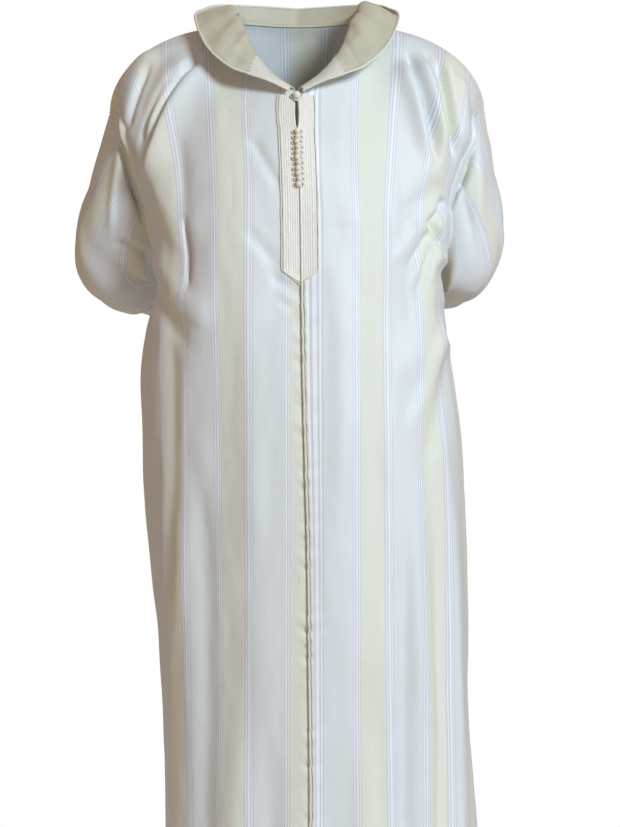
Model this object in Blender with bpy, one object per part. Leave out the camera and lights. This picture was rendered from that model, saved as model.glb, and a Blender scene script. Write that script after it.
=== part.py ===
"""A djellaba: a long, loose robe with a hood, a front placket with small knots, and wide sleeves.

It is modelled as worn, hollow, with both arms held behind the back. +X is the wearer's left, -Y the
front, +Z up. The origin lies between the shoulders, level with the tops of the shoulder lines at the neck.
Every cloth piece is a thin wall between an inner and an outer layer of points.
"""
import math

import bpy
import numpy as np

# ---- cloth and seams, metres ----
CLOTH = 0.0015            # wall of the cloth
SEAM_GAP = 0.0003         # between two pieces that are sewn together
LIE_GAP = 0.0004          # under a trim that lies on a panel
COLLAR_IN = 0.0005        # from the edge of the panels to the first line of the hood and the facings
COLLAR_UP = 0.0011
SHARP_ANGLE = 50.0        # degrees between faces from which an edge stays crisp

# ---- the body ----
HEM_Z = -1.420
ARMHOLE_TOP = (0.2825, 0.020, -0.120)
UNDERARM = (0.205, 0.004, -0.334)
PANEL_HALF = 0.336        # centre line to armhole along the cut
FOLD_FREE = 0.90          # share of a half panel after which folds fade out towards the seam

# One row for each level: height, x of the front seam, x of the middle of the body, x of the side seam
# from that middle, depth of the front and of the back, and how far the front bulges past its side seam.
BODY_COLUMNS = ("z", "seam_x", "middle", "side", "front", "back", "bulge")
BODY = (
    (-0.334, 0.005, 0.000, 0.205, 0.154, 0.125, 0.042),
    (-0.390, 0.006, 0.000, 0.206, 0.160, 0.127, 0.034),
    (-0.450, 0.007, -0.002, 0.223, 0.166, 0.130, 0.012),
    (-0.520, 0.008, 0.000, 0.234, 0.170, 0.135, 0.004),
    (-0.600, 0.010, 0.007, 0.238, 0.174, 0.142, 0.002),
    (-0.700, 0.013, 0.012, 0.239, 0.177, 0.150, 0.000),
    (-0.800, 0.015, 0.019, 0.236, 0.180, 0.158, 0.000),
    (-0.900, 0.016, 0.026, 0.231, 0.182, 0.165, 0.000),
    (-1.000, 0.017, 0.031, 0.226, 0.184, 0.171, 0.000),
    (-1.100, 0.018, 0.036, 0.227, 0.186, 0.177, 0.000),
    (-1.200, 0.018, 0.040, 0.229, 0.189, 0.182, 0.000),
    (-1.310, 0.019, 0.043, 0.233, 0.192, 0.187, 0.000),
    (HEM_Z, 0.019, 0.046, 0.236, 0.195, 0.191, 0.000),
)
BACK_DRAW = 1.3           # the back draws in beside the seam by this share of the front's bulge
SIDE_STRAIGHT_Z = -0.520  # from here down the side seam lies in the plane of the sides
CHEST_CENTRE_Z = -0.310   # the chest row is a little higher at the centre than under the arms
UPPER_ROWS = 12           # rows between the shoulder line and the chest row
ROUNDNESS = 0.56          # length of a section's end handles, as in an ellipse
SECTION_POINTS = 61       # on half of a level section
NECK_ZONE = (0.08, 0.42)  # share of a half panel over which the neck's drape turns into the shoulder's
ARMHOLE_ZONE = 0.72       # share of a half panel from which the armhole shapes the drape

# How the cloth leaves the top edge near the neck, on the shoulder and at the armhole, and how it comes
# down to the chest row in the middle and at the armhole: away from the middle, back and up.
DRAPE = {
    "front": {"neck": (0.0, -0.075, -0.20), "shoulder": (0.0, -0.270, -0.09),
              "armhole": (-0.100, -0.250, -0.02), "chest": (0.0, 0.0, -0.20),
              "underarm": (-0.02, 0.15, -0.30)},
    "back": {"neck": (0.0, 0.110, -0.22), "shoulder": (0.0, 0.260, -0.10),
             "armhole": (-0.050, 0.240, -0.05), "chest": (0.0, 0.0, -0.25),
             "underarm": (-0.08, -0.16, -0.25)},
}

# ---- the neck seam and the hood ----
# From the point of the V (0) to the centre back (1): the neck seam, the free rim of the hood, and the
# pulls of the cloth between them, each towards the neck and up: at the seam, halfway and at the rim.
NECK_COLUMNS = ("along", "seam_x", "seam_y", "seam_z", "rim_x", "rim_y", "rim_z",
                "seam_in", "seam_up", "half_in", "half_up", "rim_in", "rim_up")
NECK = (
    (0.00, 0.000, -0.118, -0.115, 0.0075, -0.129, -0.1135, 0.002, 0.004, 0.001, 0.006, 0.000, 0.004),
    (0.12, 0.030, -0.106, -0.096, 0.0390, -0.132, -0.0990, 0.002, 0.011, 0.000, 0.012, 0.000, 0.003),
    (0.25, 0.056, -0.088, -0.070, 0.0690, -0.126, -0.0880, 0.006, 0.024, 0.002, 0.022, 0.002, 0.003),
    (0.37, 0.081, -0.052, -0.034, 0.1000, -0.112, -0.0720, 0.016, 0.040, 0.012, 0.036, 0.006, 0.003),
    (0.46, 0.098, -0.015, -0.004, 0.1310, -0.084, -0.0380, 0.024, 0.046, 0.018, 0.036, 0.008, 0.000),
    (0.54, 0.102, 0.020, 0.012, 0.1500, -0.020, 0.0120, 0.022, 0.046, 0.018, 0.028, 0.009, -0.006),
    (0.66, 0.085, 0.055, 0.020, 0.1400, 0.052, 0.0430, 0.008, 0.040, 0.004, -0.024, 0.006, -0.036),
    (0.78, 0.060, 0.072, 0.022, 0.1180, 0.102, 0.0600, -0.012, 0.050, -0.030, -0.210, -0.015, -0.100),
    (0.89, 0.030, 0.082, 0.022, 0.0660, 0.140, 0.0670, -0.025, 0.062, -0.045, -0.490, -0.035, -0.270),
    (1.00, 0.000, 0.085, 0.022, 0.0000, 0.154, 0.0660, -0.030, 0.070, -0.045, -0.610, -0.046, -0.366),
)
NECK_POINT = 0.50         # where the shoulder line meets the neck seam
POINT_START = 0.09        # the facings start at this share of the first step, off the centre line
FACING_END = 0.25         # where the front facing stops and the hood starts
FRONT_NECK_STEPS = 6
BACK_NECK_STEPS = 6
SHOULDER_STEPS = 13
HOOD_ROWS = 13
FACING_ROWS = 4

# ---- the sleeves ----
# One row for each ring, from the armhole to the cuff: the outer line (top of the shoulder, point of the
# elbow, underside of the forearm) of the right and of the left sleeve, its depth, the inner line
# (underarm, crook, top of the forearm), and half the breadth across them.
SLEEVE_COLUMNS = ("outer_right_x", "outer_right_z", "outer_left_x", "outer_left_z", "outer_y",
                  "inner_x", "inner_y", "inner_z", "breadth")
SLEEVE = (
    (0.2825, -0.120, 0.2825, -0.120, 0.020, 0.205, 0.004, -0.334, 0.072),
    (0.309, -0.190, 0.299, -0.180, 0.052, 0.236, 0.021, -0.345, 0.074),
    (0.327, -0.247, 0.306, -0.245, 0.084, 0.245, 0.050, -0.359, 0.073),
    (0.334, -0.308, 0.291, -0.311, 0.116, 0.234, 0.080, -0.359, 0.069),
    (0.320, -0.350, 0.274, -0.350, 0.146, 0.212, 0.104, -0.351, 0.064),
    (0.289, -0.377, 0.247, -0.376, 0.172, 0.190, 0.126, -0.337, 0.058),
    (0.249, -0.401, 0.214, -0.396, 0.193, 0.164, 0.144, -0.334, 0.053),
    (0.204, -0.426, 0.178, -0.415, 0.210, 0.134, 0.160, -0.336, 0.049),
    (0.145, -0.454, 0.130, -0.440, 0.227, 0.096, 0.179, -0.342, 0.045),
    (0.070, -0.484, 0.060, -0.466, 0.238, 0.052, 0.196, -0.350, 0.042),
)
SLEEVE_RINGS = 14         # rings after the one at the armhole
RING_REACH = 0.25         # rows on each side of a ring that give its direction
ARMHOLE_ROWS = 3.5        # rows over which the shape of the armhole fades
SQUARE_ROWS = 4.0         # rows over which the rings turn square to the arm
CROOK_FOLDS = 2.5         # creases along the inner line of the elbow
CROOK_DEPTH = 0.0065
CROOK_TURN = 0.3          # turn of the creases round the arm, radians
CROOK_SHARPNESS = 1.5
CROOK_START = (0.6, 2.1)  # rows over which the creases grow
CROOK_END = (5.8, 7.8)    # rows over which they fade

# ---- folds ----
# Soft ridges: the side of the robe, start, middle and end on the front or back elevation (x, z), the
# half width and the height of the ridge.
FOLD_COLUMNS = ("face", "x0", "z0", "x1", "z1", "x2", "z2", "half_width", "height")
FOLDS = (
    ("front", -0.150, -0.050, -0.194, -0.115, -0.222, -0.270, 0.021, 0.010),
    ("front", -0.204, -0.030, -0.240, -0.090, -0.246, -0.220, 0.018, 0.007),
    ("front", 0.140, -0.060, 0.186, -0.135, 0.206, -0.280, 0.021, 0.010),
    ("front", 0.200, -0.040, 0.226, -0.100, 0.226, -0.240, 0.018, 0.007),
    ("front", 0.216, -0.360, 0.192, -0.430, 0.150, -0.560, 0.024, 0.007),
    ("front", -0.195, -0.440, -0.170, -0.900, -0.155, -1.450, 0.032, 0.012),
    ("front", 0.150, -0.560, 0.172, -0.900, 0.180, -1.450, 0.024, 0.012),
    ("front", 0.206, -0.420, 0.218, -0.900, 0.226, -1.450, 0.020, 0.010),
    ("front", -0.100, -0.900, -0.085, -1.150, -0.080, -1.450, 0.034, 0.008),
    ("front", 0.095, -0.950, 0.100, -1.150, 0.105, -1.450, 0.030, 0.006),
    ("back", -0.120, -0.560, -0.115, -0.900, -0.100, -1.450, 0.032, 0.018),
    ("back", -0.030, -0.480, -0.022, -0.900, -0.008, -1.450, 0.028, 0.014),
    ("back", 0.066, -0.520, 0.078, -0.900, 0.090, -1.450, 0.032, 0.017),
    ("back", 0.148, -0.600, 0.164, -0.900, 0.178, -1.450, 0.028, 0.016),
    ("back", -0.195, -0.700, -0.180, -0.950, -0.175, -1.450, 0.024, 0.013),
    ("back", -0.150, -0.060, -0.175, -0.160, -0.165, -0.340, 0.030, 0.007),
    ("back", 0.150, -0.060, 0.172, -0.160, 0.160, -0.340, 0.030, 0.007),
)
FOLD_STEPS = 24           # points along a fold's line
FOLD_END = 0.35           # share of a fold that fades at each end
HEM_FOLD_START = 0.5      # share over which a fold that runs out at the hem grows

# ---- the placket ----
PLACKET_HALF = 0.0275
PLACKET_TIP_Z = -0.391
PLACKET_CORNER_Z = -0.372
PLACKET_TOP = 0.004       # below the point of the V
PLACKET_EDGE = 0.0006     # from the centre edge of a front to its braid
PLACKET_ROWS = 16
BRAID = 0.0014            # thickness of the braid between its cords
BRAID_CORDS = 5           # cords on each half
BRAID_RISE = 0.0007       # how far each cord stands up
SLIT_TOP_Z = -0.122
SLIT_END_Z = -0.168
SLIT_WIDTH = 0.0046
SLIT_NEXT = 0.4           # how much of the slit the column beside it follows
KNOTS = 11
KNOT_FIRST_Z = -0.1755
KNOT_PITCH = 0.0076
KNOT_RADIUS = 0.0034
NECK_KNOT_RADIUS = 0.0048
NECK_KNOT_Z = -0.1235
KNOT_AROUND = 8
KNOT_LEVELS = 5
LOOP_RADIUS = 0.0052      # of the loop round the knot at the neck
LOOP_CORD_RADIUS = 0.0009
LOOP_POINTS = 16
FRONT_CORD_RISE = 0.0021
FRONT_CORD_ROWS = 18
FRONT_CORD_START = 0.0015 # below the tip of the placket
FRONT_CORD_END = 0.0006   # above the hem
# Across the front cord, right to left: the front it lies on, distance from the centre, share of the rise.
FRONT_CORD_PROFILE = (
    (-1, 0.00375, 0.40),
    (-1, 0.00190, 1.00),
    (0, 0.00000, 0.67),
    (1, 0.00190, 1.00),
    (1, 0.00375, 0.40),
)
RIM_CORD_RADIUS = 0.0017
CORD_SIDES = 6

# ---- finishes: colour and roughness ----
FINISHES = {
    "striped_satin": ((0.82, 0.83, 0.82), 0.42),
    "hood_satin": ((0.80, 0.77, 0.66), 0.45),
    "silk_braid": ((0.84, 0.81, 0.72), 0.50),
    "silk_knot": ((0.88, 0.85, 0.77), 0.45),
}


# ---- curves ----
def smooth_step(value):
    """0 up to 0, 1 from 1 on, and a smooth rise between."""
    t = np.clip(value, 0.0, 1.0)
    return t * t * (3.0 - 2.0 * t)


def smooth_read(keys, values, at):
    """Reads a column of a table at any key, on a smooth curve through its rows."""
    keys = np.asarray(keys, float)
    values = np.asarray(values, float)
    slopes = np.gradient(values, keys)
    i = int(np.clip(np.searchsorted(keys, at, side="right") - 1, 0, len(keys) - 2))
    span = keys[i + 1] - keys[i]
    t = (at - keys[i]) / span
    return (values[i] * (2 * t ** 3 - 3 * t ** 2 + 1) + slopes[i] * span * (t ** 3 - 2 * t ** 2 + t)
            + values[i + 1] * (3 * t ** 2 - 2 * t ** 3) + slopes[i + 1] * span * (t ** 3 - t ** 2))


def table_row(table, columns, key, at):
    """One row of a table at any value of its first column."""
    keys = [row[columns.index(key)] for row in table]
    order = 1 if keys[-1] > keys[0] else -1
    return {name: float(smooth_read(keys[::order], [row[i] for row in table][::order], at))
            for i, name in enumerate(columns)}


def pulled_curve(start, start_pull, end, end_pull, share):
    """A cubic curve that leaves start along start_pull and reaches end along end_pull."""
    t = share
    return (np.asarray(start) * (2 * t ** 3 - 3 * t ** 2 + 1)
            + np.asarray(start_pull) * (t ** 3 - 2 * t ** 2 + t)
            + np.asarray(end) * (3 * t ** 2 - 2 * t ** 3) + np.asarray(end_pull) * (t ** 3 - t ** 2))


def handle_curve(points, share):
    """A curve through the first and last of its points, drawn towards those between."""
    t = np.atleast_1d(share)[:, None]
    last = len(points) - 1
    return sum(math.comb(last, i) * (1 - t) ** (last - i) * t ** i * np.asarray(point, float)
               for i, point in enumerate(points))


# ---- the body's surface ----
def neck_seam(along, side):
    row = table_row(NECK, NECK_COLUMNS, "along", along)
    return np.array((side * row["seam_x"], row["seam_y"], row["seam_z"]))


def shoulder_line(share, side):
    """From the neck point, share 0, over the shoulder to the top of the armhole, share 1."""
    start = neck_seam(NECK_POINT, side)
    end = np.array((side * ARMHOLE_TOP[0], ARMHOLE_TOP[1], ARMHOLE_TOP[2]))
    turn = share * math.pi / 2
    return np.array((start[0] + (end[0] - start[0]) * math.sin(turn),
                     start[1] + (end[1] - start[1]) * share,
                     end[2] + (start[2] - end[2]) * math.cos(turn)))


def section(z, side, face):
    """Half of a level section, as points from the middle of the body to the side seam."""
    row = table_row(BODY, BODY_COLUMNS, "z", z)
    depth = -row["front"] if face == "front" else row["back"]
    bulge = row["bulge"] * (1.0 if face == "front" else -BACK_DRAW)
    middle = row["middle"]
    side_y = UNDERARM[1] * float(smooth_step((z - SIDE_STRAIGHT_Z) / (UNDERARM[2] - SIDE_STRAIGHT_Z)))
    return handle_curve(((middle, depth),
                         (middle + side * ROUNDNESS * (row["side"] + bulge), depth),
                         (middle + side * (row["side"] + bulge), side_y + ROUNDNESS * depth),
                         (middle + side * row["side"], side_y)), np.linspace(0, 1, SECTION_POINTS))


def level_row(z, side, face, shares):
    """Points of a half panel at one level, spaced by the length of the cloth from the seam to the side."""
    near = section(z, side, face)
    other = section(z, -side, face)
    whole = np.vstack((other[::-1], near[1:]))
    length = np.concatenate(((0,), np.cumsum(np.linalg.norm(np.diff(whole, axis=0), axis=1))))
    centre_x = table_row(BODY, BODY_COLUMNS, "z", z)["seam_x" if face == "front" else "middle"]
    near_centre = slice(SECTION_POINTS // 3, len(whole) - SECTION_POINTS // 3)
    centre = np.interp(side * centre_x, side * whole[near_centre, 0], length[near_centre])
    places = centre + (length[-1] - centre) * np.asarray(shares)
    return np.column_stack([np.interp(places, length, whole[:, axis]) for axis in (0, 1)])


def panel_columns(face):
    """Where the columns of a half panel lie: its share of the width, and its place on the top edge."""
    neck_steps = FRONT_NECK_STEPS if face == "front" else BACK_NECK_STEPS
    neck_share = abs(neck_seam(NECK_POINT, 1)[0]) / PANEL_HALF
    columns = []
    for i in range(neck_steps):
        along = i / neck_steps * NECK_POINT
        if face == "back":
            along = 1.0 - along
        columns.append((abs(neck_seam(along, 1)[0]) / PANEL_HALF, "neck", along))
    for i in range(SHOULDER_STEPS + 1):
        share = i / SHOULDER_STEPS
        columns.append((neck_share + (1 - neck_share) * share, "shoulder", share))
    return columns


def slit_half(z):
    """Half of the gap between the two fronts: a narrow slit below the neck, closed elsewhere."""
    reach = (z - SLIT_END_Z) / (SLIT_TOP_Z - SLIT_END_Z)
    if not 0.0 < reach < 1.0:
        return 0.0
    return SLIT_WIDTH / 2 * math.sqrt(math.sin(math.pi * reach))


def faces_out(side, face):
    """True where columns that run from the centre to the side give a grid whose face is the outside."""
    return (face == "front") == (side > 0)


def panel_grid(side, face):
    """Rows from the top edge to the hem, columns from the centre line to the armhole and side seam."""
    columns = panel_columns(face)
    shares = [share for share, edge, place in columns]
    chest = level_row(BODY[0][0], side, face, shares)
    bottom = []
    for i, share in enumerate(shares):
        drop = smooth_step(share)
        bottom.append((chest[i][0], chest[i][1], CHEST_CENTRE_Z + (BODY[0][0] - CHEST_CENTRE_Z) * drop))
    bottom[-1] = (side * UNDERARM[0], UNDERARM[1], UNDERARM[2])
    drape = {name: np.array(pull) * (side, 1.0, 1.0) for name, pull in DRAPE[face].items()}
    rows = []
    for k in range(UPPER_ROWS):
        down = k / UPPER_ROWS
        row = []
        for i, (share, edge, place) in enumerate(columns):
            top = neck_seam(place, side) if edge == "neck" else shoulder_line(place, side)
            over = smooth_step((share - NECK_ZONE[0]) / (NECK_ZONE[1] - NECK_ZONE[0]))
            armhole = smooth_step((share - ARMHOLE_ZONE) / (1 - ARMHOLE_ZONE))
            pull = drape["neck"] * (1 - over) + drape["shoulder"] * over
            pull = pull * (1 - armhole) + drape["armhole"] * armhole
            lower_pull = drape["chest"] * (1 - armhole) + drape["underarm"] * armhole
            row.append(pulled_curve(top, pull, bottom[i], lower_pull, down))
        rows.append(row)
    rows.append(bottom)
    for level in BODY[1:]:
        places = level_row(level[0], side, face, shares)
        rows.append([(x, y, level[0]) for x, y in places])
    grid = np.array(rows, float)
    if face == "front":
        grid[0, 0] = neck_seam(0.0, side)
        for row in grid:
            half = slit_half(row[0][2])
            row[0][0] += side * half
            row[1][0] += side * half * SLIT_NEXT
    return grid if faces_out(side, face) else grid[:, ::-1]


def fold_line(fold):
    """The line of one fold through its three points."""
    row = dict(zip(FOLD_COLUMNS, fold))
    t = np.linspace(0, 1, FOLD_STEPS)[:, None]
    start = np.array((row["x0"], row["z0"]))
    middle = np.array((row["x1"], row["z1"]))
    end = np.array((row["x2"], row["z2"]))
    return start * (1 - t) * (1 - 2 * t) + middle * 4 * t * (1 - t) + end * t * (2 * t - 1)


def fold_rise(points, face):
    """How far each point is lifted by the folds of its face."""
    rise = np.zeros(len(points))
    flat = points[:, (0, 2)]
    share = np.linspace(0, 1, FOLD_STEPS)
    for fold in FOLDS:
        row = dict(zip(FOLD_COLUMNS, fold))
        if row["face"] != face:
            continue
        away = np.linalg.norm(flat[:, None, :] - fold_line(fold)[None, :, :], axis=2)
        nearest = share[away.argmin(axis=1)]
        fade = smooth_step(nearest / FOLD_END) * smooth_step((1 - nearest) / FOLD_END)
        if row["z2"] < HEM_Z:
            fade = smooth_step(nearest / HEM_FOLD_START)
        rise += row["height"] * fade * np.exp(-(away.min(axis=1) / row["half_width"]) ** 2)
    return rise


# ---- the sleeves ----
def sleeve_ring_row(at, side):
    """The outer line, inner line and breadth of a sleeve at ring number at."""
    numbers = range(len(SLEEVE))
    row = {name: float(smooth_read(numbers, [r[i] for r in SLEEVE], at))
           for i, name in enumerate(SLEEVE_COLUMNS)}
    name = "right" if side < 0 else "left"
    outer = np.array((row[f"outer_{name}_x"], row["outer_y"], row[f"outer_{name}_z"]))
    inner = np.array((row["inner_x"], row["inner_y"], row["inner_z"]))
    return outer, inner, row["breadth"]


def sleeve_grid(side, armhole):
    """Rings from the armhole to the cuff. Each starts at the outer line and runs by the front."""
    last = len(SLEEVE) - 1
    around = len(armhole)
    angles = np.arange(around) / around * 2 * math.pi
    mirrored = armhole * (side, 1.0, 1.0)
    rings = []
    for j in range(SLEEVE_RINGS + 1):
        at = last * j / SLEEVE_RINGS
        outer, inner, breadth = sleeve_ring_row(at, side)
        before = sum(sleeve_ring_row(max(at - RING_REACH, 0), side)[:2]) / 2
        after = sum(sleeve_ring_row(min(at + RING_REACH, last), side)[:2]) / 2
        ahead = (after - before) / np.linalg.norm(after - before)
        middle = (outer + inner) / 2
        reach = (outer - inner) / 2
        across = np.cross(ahead, reach)
        square = smooth_step(at / SQUARE_ROWS)
        across = across / np.linalg.norm(across) * square + np.array((0.0, -1.0, 0.0)) * (1 - square)
        across *= breadth / np.linalg.norm(across)
        ring = middle + np.outer(np.cos(angles), reach) + np.outer(np.sin(angles), across)
        if j == 0:
            shift = mirrored - ring
        ring = ring + shift * (1 - smooth_step(at / ARMHOLE_ROWS))
        inward = (middle - ring) / np.linalg.norm(middle - ring, axis=1)[:, None]
        grown = smooth_step((at - CROOK_START[0]) / (CROOK_START[1] - CROOK_START[0]))
        faded = smooth_step((at - CROOK_END[0]) / (CROOK_END[1] - CROOK_END[0]))
        crease = math.sin(2 * math.pi * CROOK_FOLDS * at / last) * CROOK_DEPTH * grown * (1 - faded)
        at_crook = np.clip(-np.cos(angles - CROOK_TURN), 0, 1) ** CROOK_SHARPNESS
        ring = ring + inward * (at_crook * crease)[:, None]
        rings.append(ring * (side, 1.0, 1.0))
    return np.array(rings)


# ---- the hood ----
def neck_places(first, last):
    """Places along the neck seam between two columns of the panels, two for each of their steps."""
    front = [i / FRONT_NECK_STEPS * NECK_POINT for i in range(FRONT_NECK_STEPS)]
    back = [1.0 - i / BACK_NECK_STEPS * NECK_POINT for i in range(BACK_NECK_STEPS, -1, -1)]
    ends = [place for place in front + back if first - 1e-6 <= place <= last + 1e-6]
    places = []
    for near, far in zip(ends[:-1], ends[1:]):
        places += [(near, far, 0.0), (near, far, 0.5)]
    return places + [(ends[-2], ends[-1], 1.0)]


def collar_grid(side, first, last, rows):
    """Columns along the neck seam, rows from the seam to the free rim."""
    columns = []
    for near, far, share in neck_places(first, last):
        if near == 0.0:
            share = max(share, POINT_START)
        along = near + (far - near) * share
        row = table_row(NECK, NECK_COLUMNS, "along", along)
        seam = neck_seam(near, side) * (1 - share) + neck_seam(far, side) * share
        rim = np.array((side * row["rim_x"], row["rim_y"], row["rim_z"]))
        inward = -np.array((seam[0], seam[1], 0.0)) / math.hypot(seam[0], seam[1])
        up = np.array((0.0, 0.0, 1.0))
        seam = seam + inward * COLLAR_IN + up * COLLAR_UP
        pulls = (seam, seam + inward * row["seam_in"] + up * row["seam_up"],
                 (seam + rim) / 2 + inward * row["half_in"] + up * row["half_up"],
                 rim + inward * row["rim_in"] + up * row["rim_up"], rim)
        columns.append(handle_curve(pulls, np.linspace(0, 1, rows + 1)))
    return np.array(columns).transpose(1, 0, 2)


# ---- walls ----
def facet_normals(grids):
    """The direction out of the cloth at each point, shared by the pieces that meet there."""
    total = {}
    for grid, wraps in grids:
        rows, columns = grid.shape[:2]
        for i in range(rows - 1):
            for j in range(columns if wraps else columns - 1):
                k = (j + 1) % columns
                corners = (grid[i, j], grid[i + 1, j], grid[i + 1, k], grid[i, k])
                normal = np.cross(corners[2] - corners[0], corners[3] - corners[1])
                for corner in corners:
                    key = tuple(np.round(corner, 6))
                    total[key] = total.get(key, 0) + normal
    return {key: normal / np.linalg.norm(normal) for key, normal in total.items()}


def grid_normals(grid, normals):
    return np.array([[normals[tuple(np.round(point, 6))] for point in row] for row in grid])


def edge_step(edge, inner, out, wraps):
    """A short step from an edge into the piece, square to the seam and level with it."""
    if wraps:
        along = np.roll(edge, -1, axis=0) - np.roll(edge, 1, axis=0)
    else:
        along = np.gradient(edge, axis=0)
    step = np.cross(out, along)
    step /= np.linalg.norm(step, axis=1)[:, None]
    return step * np.sign(np.sum(step * (inner - edge), axis=1))[:, None] * SEAM_GAP / 2


def inset(grid, out, wraps):
    """Moves the border points a little into the piece, which leaves the gap at each seam."""
    moved = grid.copy()
    for edge, inner in ((0, 1), (-1, -2)):
        moved[edge] += edge_step(grid[edge], grid[inner], out[edge], wraps)
    if not wraps:
        for edge, inner in ((0, 1), (-1, -2)):
            moved[:, edge] += edge_step(grid[:, edge], grid[:, inner], out[:, edge], False)
    return moved


def wall_mesh(name, outer, inner, wraps):
    """A closed mesh between two grids of the same size."""
    rows, columns = outer.shape[:2]
    count = rows * columns
    points = np.vstack((outer.reshape(-1, 3), inner.reshape(-1, 3)))
    faces = []
    for i in range(rows - 1):
        for j in range(columns if wraps else columns - 1):
            k = (j + 1) % columns
            a, b, c, d = i * columns + j, (i + 1) * columns + j, (i + 1) * columns + k, i * columns + k
            faces.append((a, b, c, d))
            faces.append((a + count, d + count, c + count, b + count))
    border = []
    across = range(columns if wraps else columns - 1)
    border += [(j, (j + 1) % columns) for j in across]
    border += [((rows - 1) * columns + (j + 1) % columns, (rows - 1) * columns + j) for j in across]
    if not wraps:
        border += [((i + 1) * columns, i * columns) for i in range(rows - 1)]
        border += [(i * columns + columns - 1, (i + 1) * columns + columns - 1) for i in range(rows - 1)]
    for a, b in border:
        # Both pieces at a seam split their edges the same way, so twisted ones stay apart.
        if points[a][2] < points[b][2]:
            faces += [(a, b, b + count), (a, b + count, a + count)]
        else:
            faces += [(a, b, a + count), (b, b + count, a + count)]
    mesh = bpy.data.meshes.new(name)
    mesh.from_pydata(points.tolist(), [], faces)
    mesh.validate()
    mesh.update()
    return mesh


def material(name):
    colour, roughness = FINISHES[name]
    made = bpy.data.materials.new(name)
    made.use_nodes = True
    shader = made.node_tree.nodes["Principled BSDF"]
    shader.inputs["Base Color"].default_value = (*colour, 1.0)
    shader.inputs["Roughness"].default_value = roughness
    shader.inputs["Metallic"].default_value = 0.0
    return made


def place(name, mesh, finish):
    """Adds a mesh to the scene as one named piece."""
    mesh.materials.append(finish)
    mesh.shade_smooth()
    mesh.set_sharp_from_angle(angle=math.radians(SHARP_ANGLE))
    piece = bpy.data.objects.new(name, mesh)
    bpy.context.scene.collection.objects.link(piece)
    return piece


def cloth_piece(name, grid, normals, wraps, finish, thickness=CLOTH):
    """A wall of cloth on both sides of a grid of points."""
    out = grid_normals(grid, normals)
    cut = inset(grid, out, wraps)
    half = out * thickness / 2
    return place(name, wall_mesh(name, cut + half, cut - half, wraps), finish)


# ---- trims that lie on the fronts ----
def column_point(grid, normals, column, z):
    """A point and its direction out of the cloth on one column of a front, at height z."""
    heights = grid[:, column, 2]
    i = int(np.clip(np.searchsorted(-heights, -z) - 1, 0, len(heights) - 2))
    share = (heights[i] - z) / (heights[i] - heights[i + 1])
    share = min(max(share, 0.0), 1.0)
    point = grid[i, column] * (1 - share) + grid[i + 1, column] * share
    out = normals[i, column] * (1 - share) + normals[i + 1, column] * share
    return point, out / np.linalg.norm(out)


def lying_point(grid, normals, distance, z):
    """A point of a front at a distance from its centre edge, on the facets between two columns."""
    for column in range(1, grid.shape[1]):
        near, out_near = column_point(grid, normals, column - 1, z)
        far, out_far = column_point(grid, normals, column, z)
        width = np.linalg.norm(far[:2] - near[:2])
        if distance <= width or column == grid.shape[1] - 1:
            share = min(max(distance / width, 0.0), 1.0)
            out = out_near * (1 - share) + out_far * share
            return near * (1 - share) + far * share, out / np.linalg.norm(out)
        distance -= width
    raise ValueError("a front needs two columns")


def placket_braid(name, grid, normals, side, finish):
    """One half of the braid: upright cords side by side, with a slanting lower end."""
    distances = np.linspace(PLACKET_EDGE, PLACKET_HALF, BRAID_CORDS * 2 + 1)
    top = grid[0, 0, 2] - PLACKET_TOP
    lower, upper = [], []
    for i in range(PLACKET_ROWS + 1):
        lower_row, upper_row = [], []
        for j, distance in enumerate(distances):
            slant = PLACKET_TIP_Z + (PLACKET_CORNER_Z - PLACKET_TIP_Z) * distance / PLACKET_HALF
            z = top + (slant - top) * i / PLACKET_ROWS
            point, out = lying_point(grid, normals, distance, z)
            rise = BRAID + (BRAID_RISE if j % 2 else 0.0)
            lower_row.append(point + out * (CLOTH / 2 + LIE_GAP))
            upper_row.append(point + out * (CLOTH / 2 + LIE_GAP + rise))
        order = 1 if side < 0 else -1
        lower.append(lower_row[::-order])
        upper.append(upper_row[::-order])
    return place(name, wall_mesh(name, np.array(upper), np.array(lower), False), finish)


def front_cord(name, left, left_normals, right, right_normals, finish):
    """The two-strand cord over the centre seam, from the tip of the placket to the hem."""
    start = PLACKET_TIP_Z - FRONT_CORD_START
    end = HEM_Z + FRONT_CORD_END
    lower, upper = [], []
    for i in range(FRONT_CORD_ROWS + 1):
        z = start + (end - start) * i / FRONT_CORD_ROWS
        on_right, out_right = lying_point(right, right_normals, 0.0, z)
        on_left, out_left = lying_point(left, left_normals, 0.0, z)
        lower_row, upper_row = [], []
        for side, distance, rise in FRONT_CORD_PROFILE:
            if side < 0:
                point, out = lying_point(right, right_normals, distance, z)
            elif side > 0:
                point, out = lying_point(left, left_normals, distance, z)
            else:
                point, out = (on_right + on_left) / 2, (out_right + out_left) / 2
            lower_row.append(point + out * (CLOTH / 2 + LIE_GAP))
            upper_row.append(point + out * (CLOTH / 2 + LIE_GAP + FRONT_CORD_RISE * rise))
        lower.append(lower_row)
        upper.append(upper_row)
    return place(name, wall_mesh(name, np.array(upper), np.array(lower), False), finish)


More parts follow.
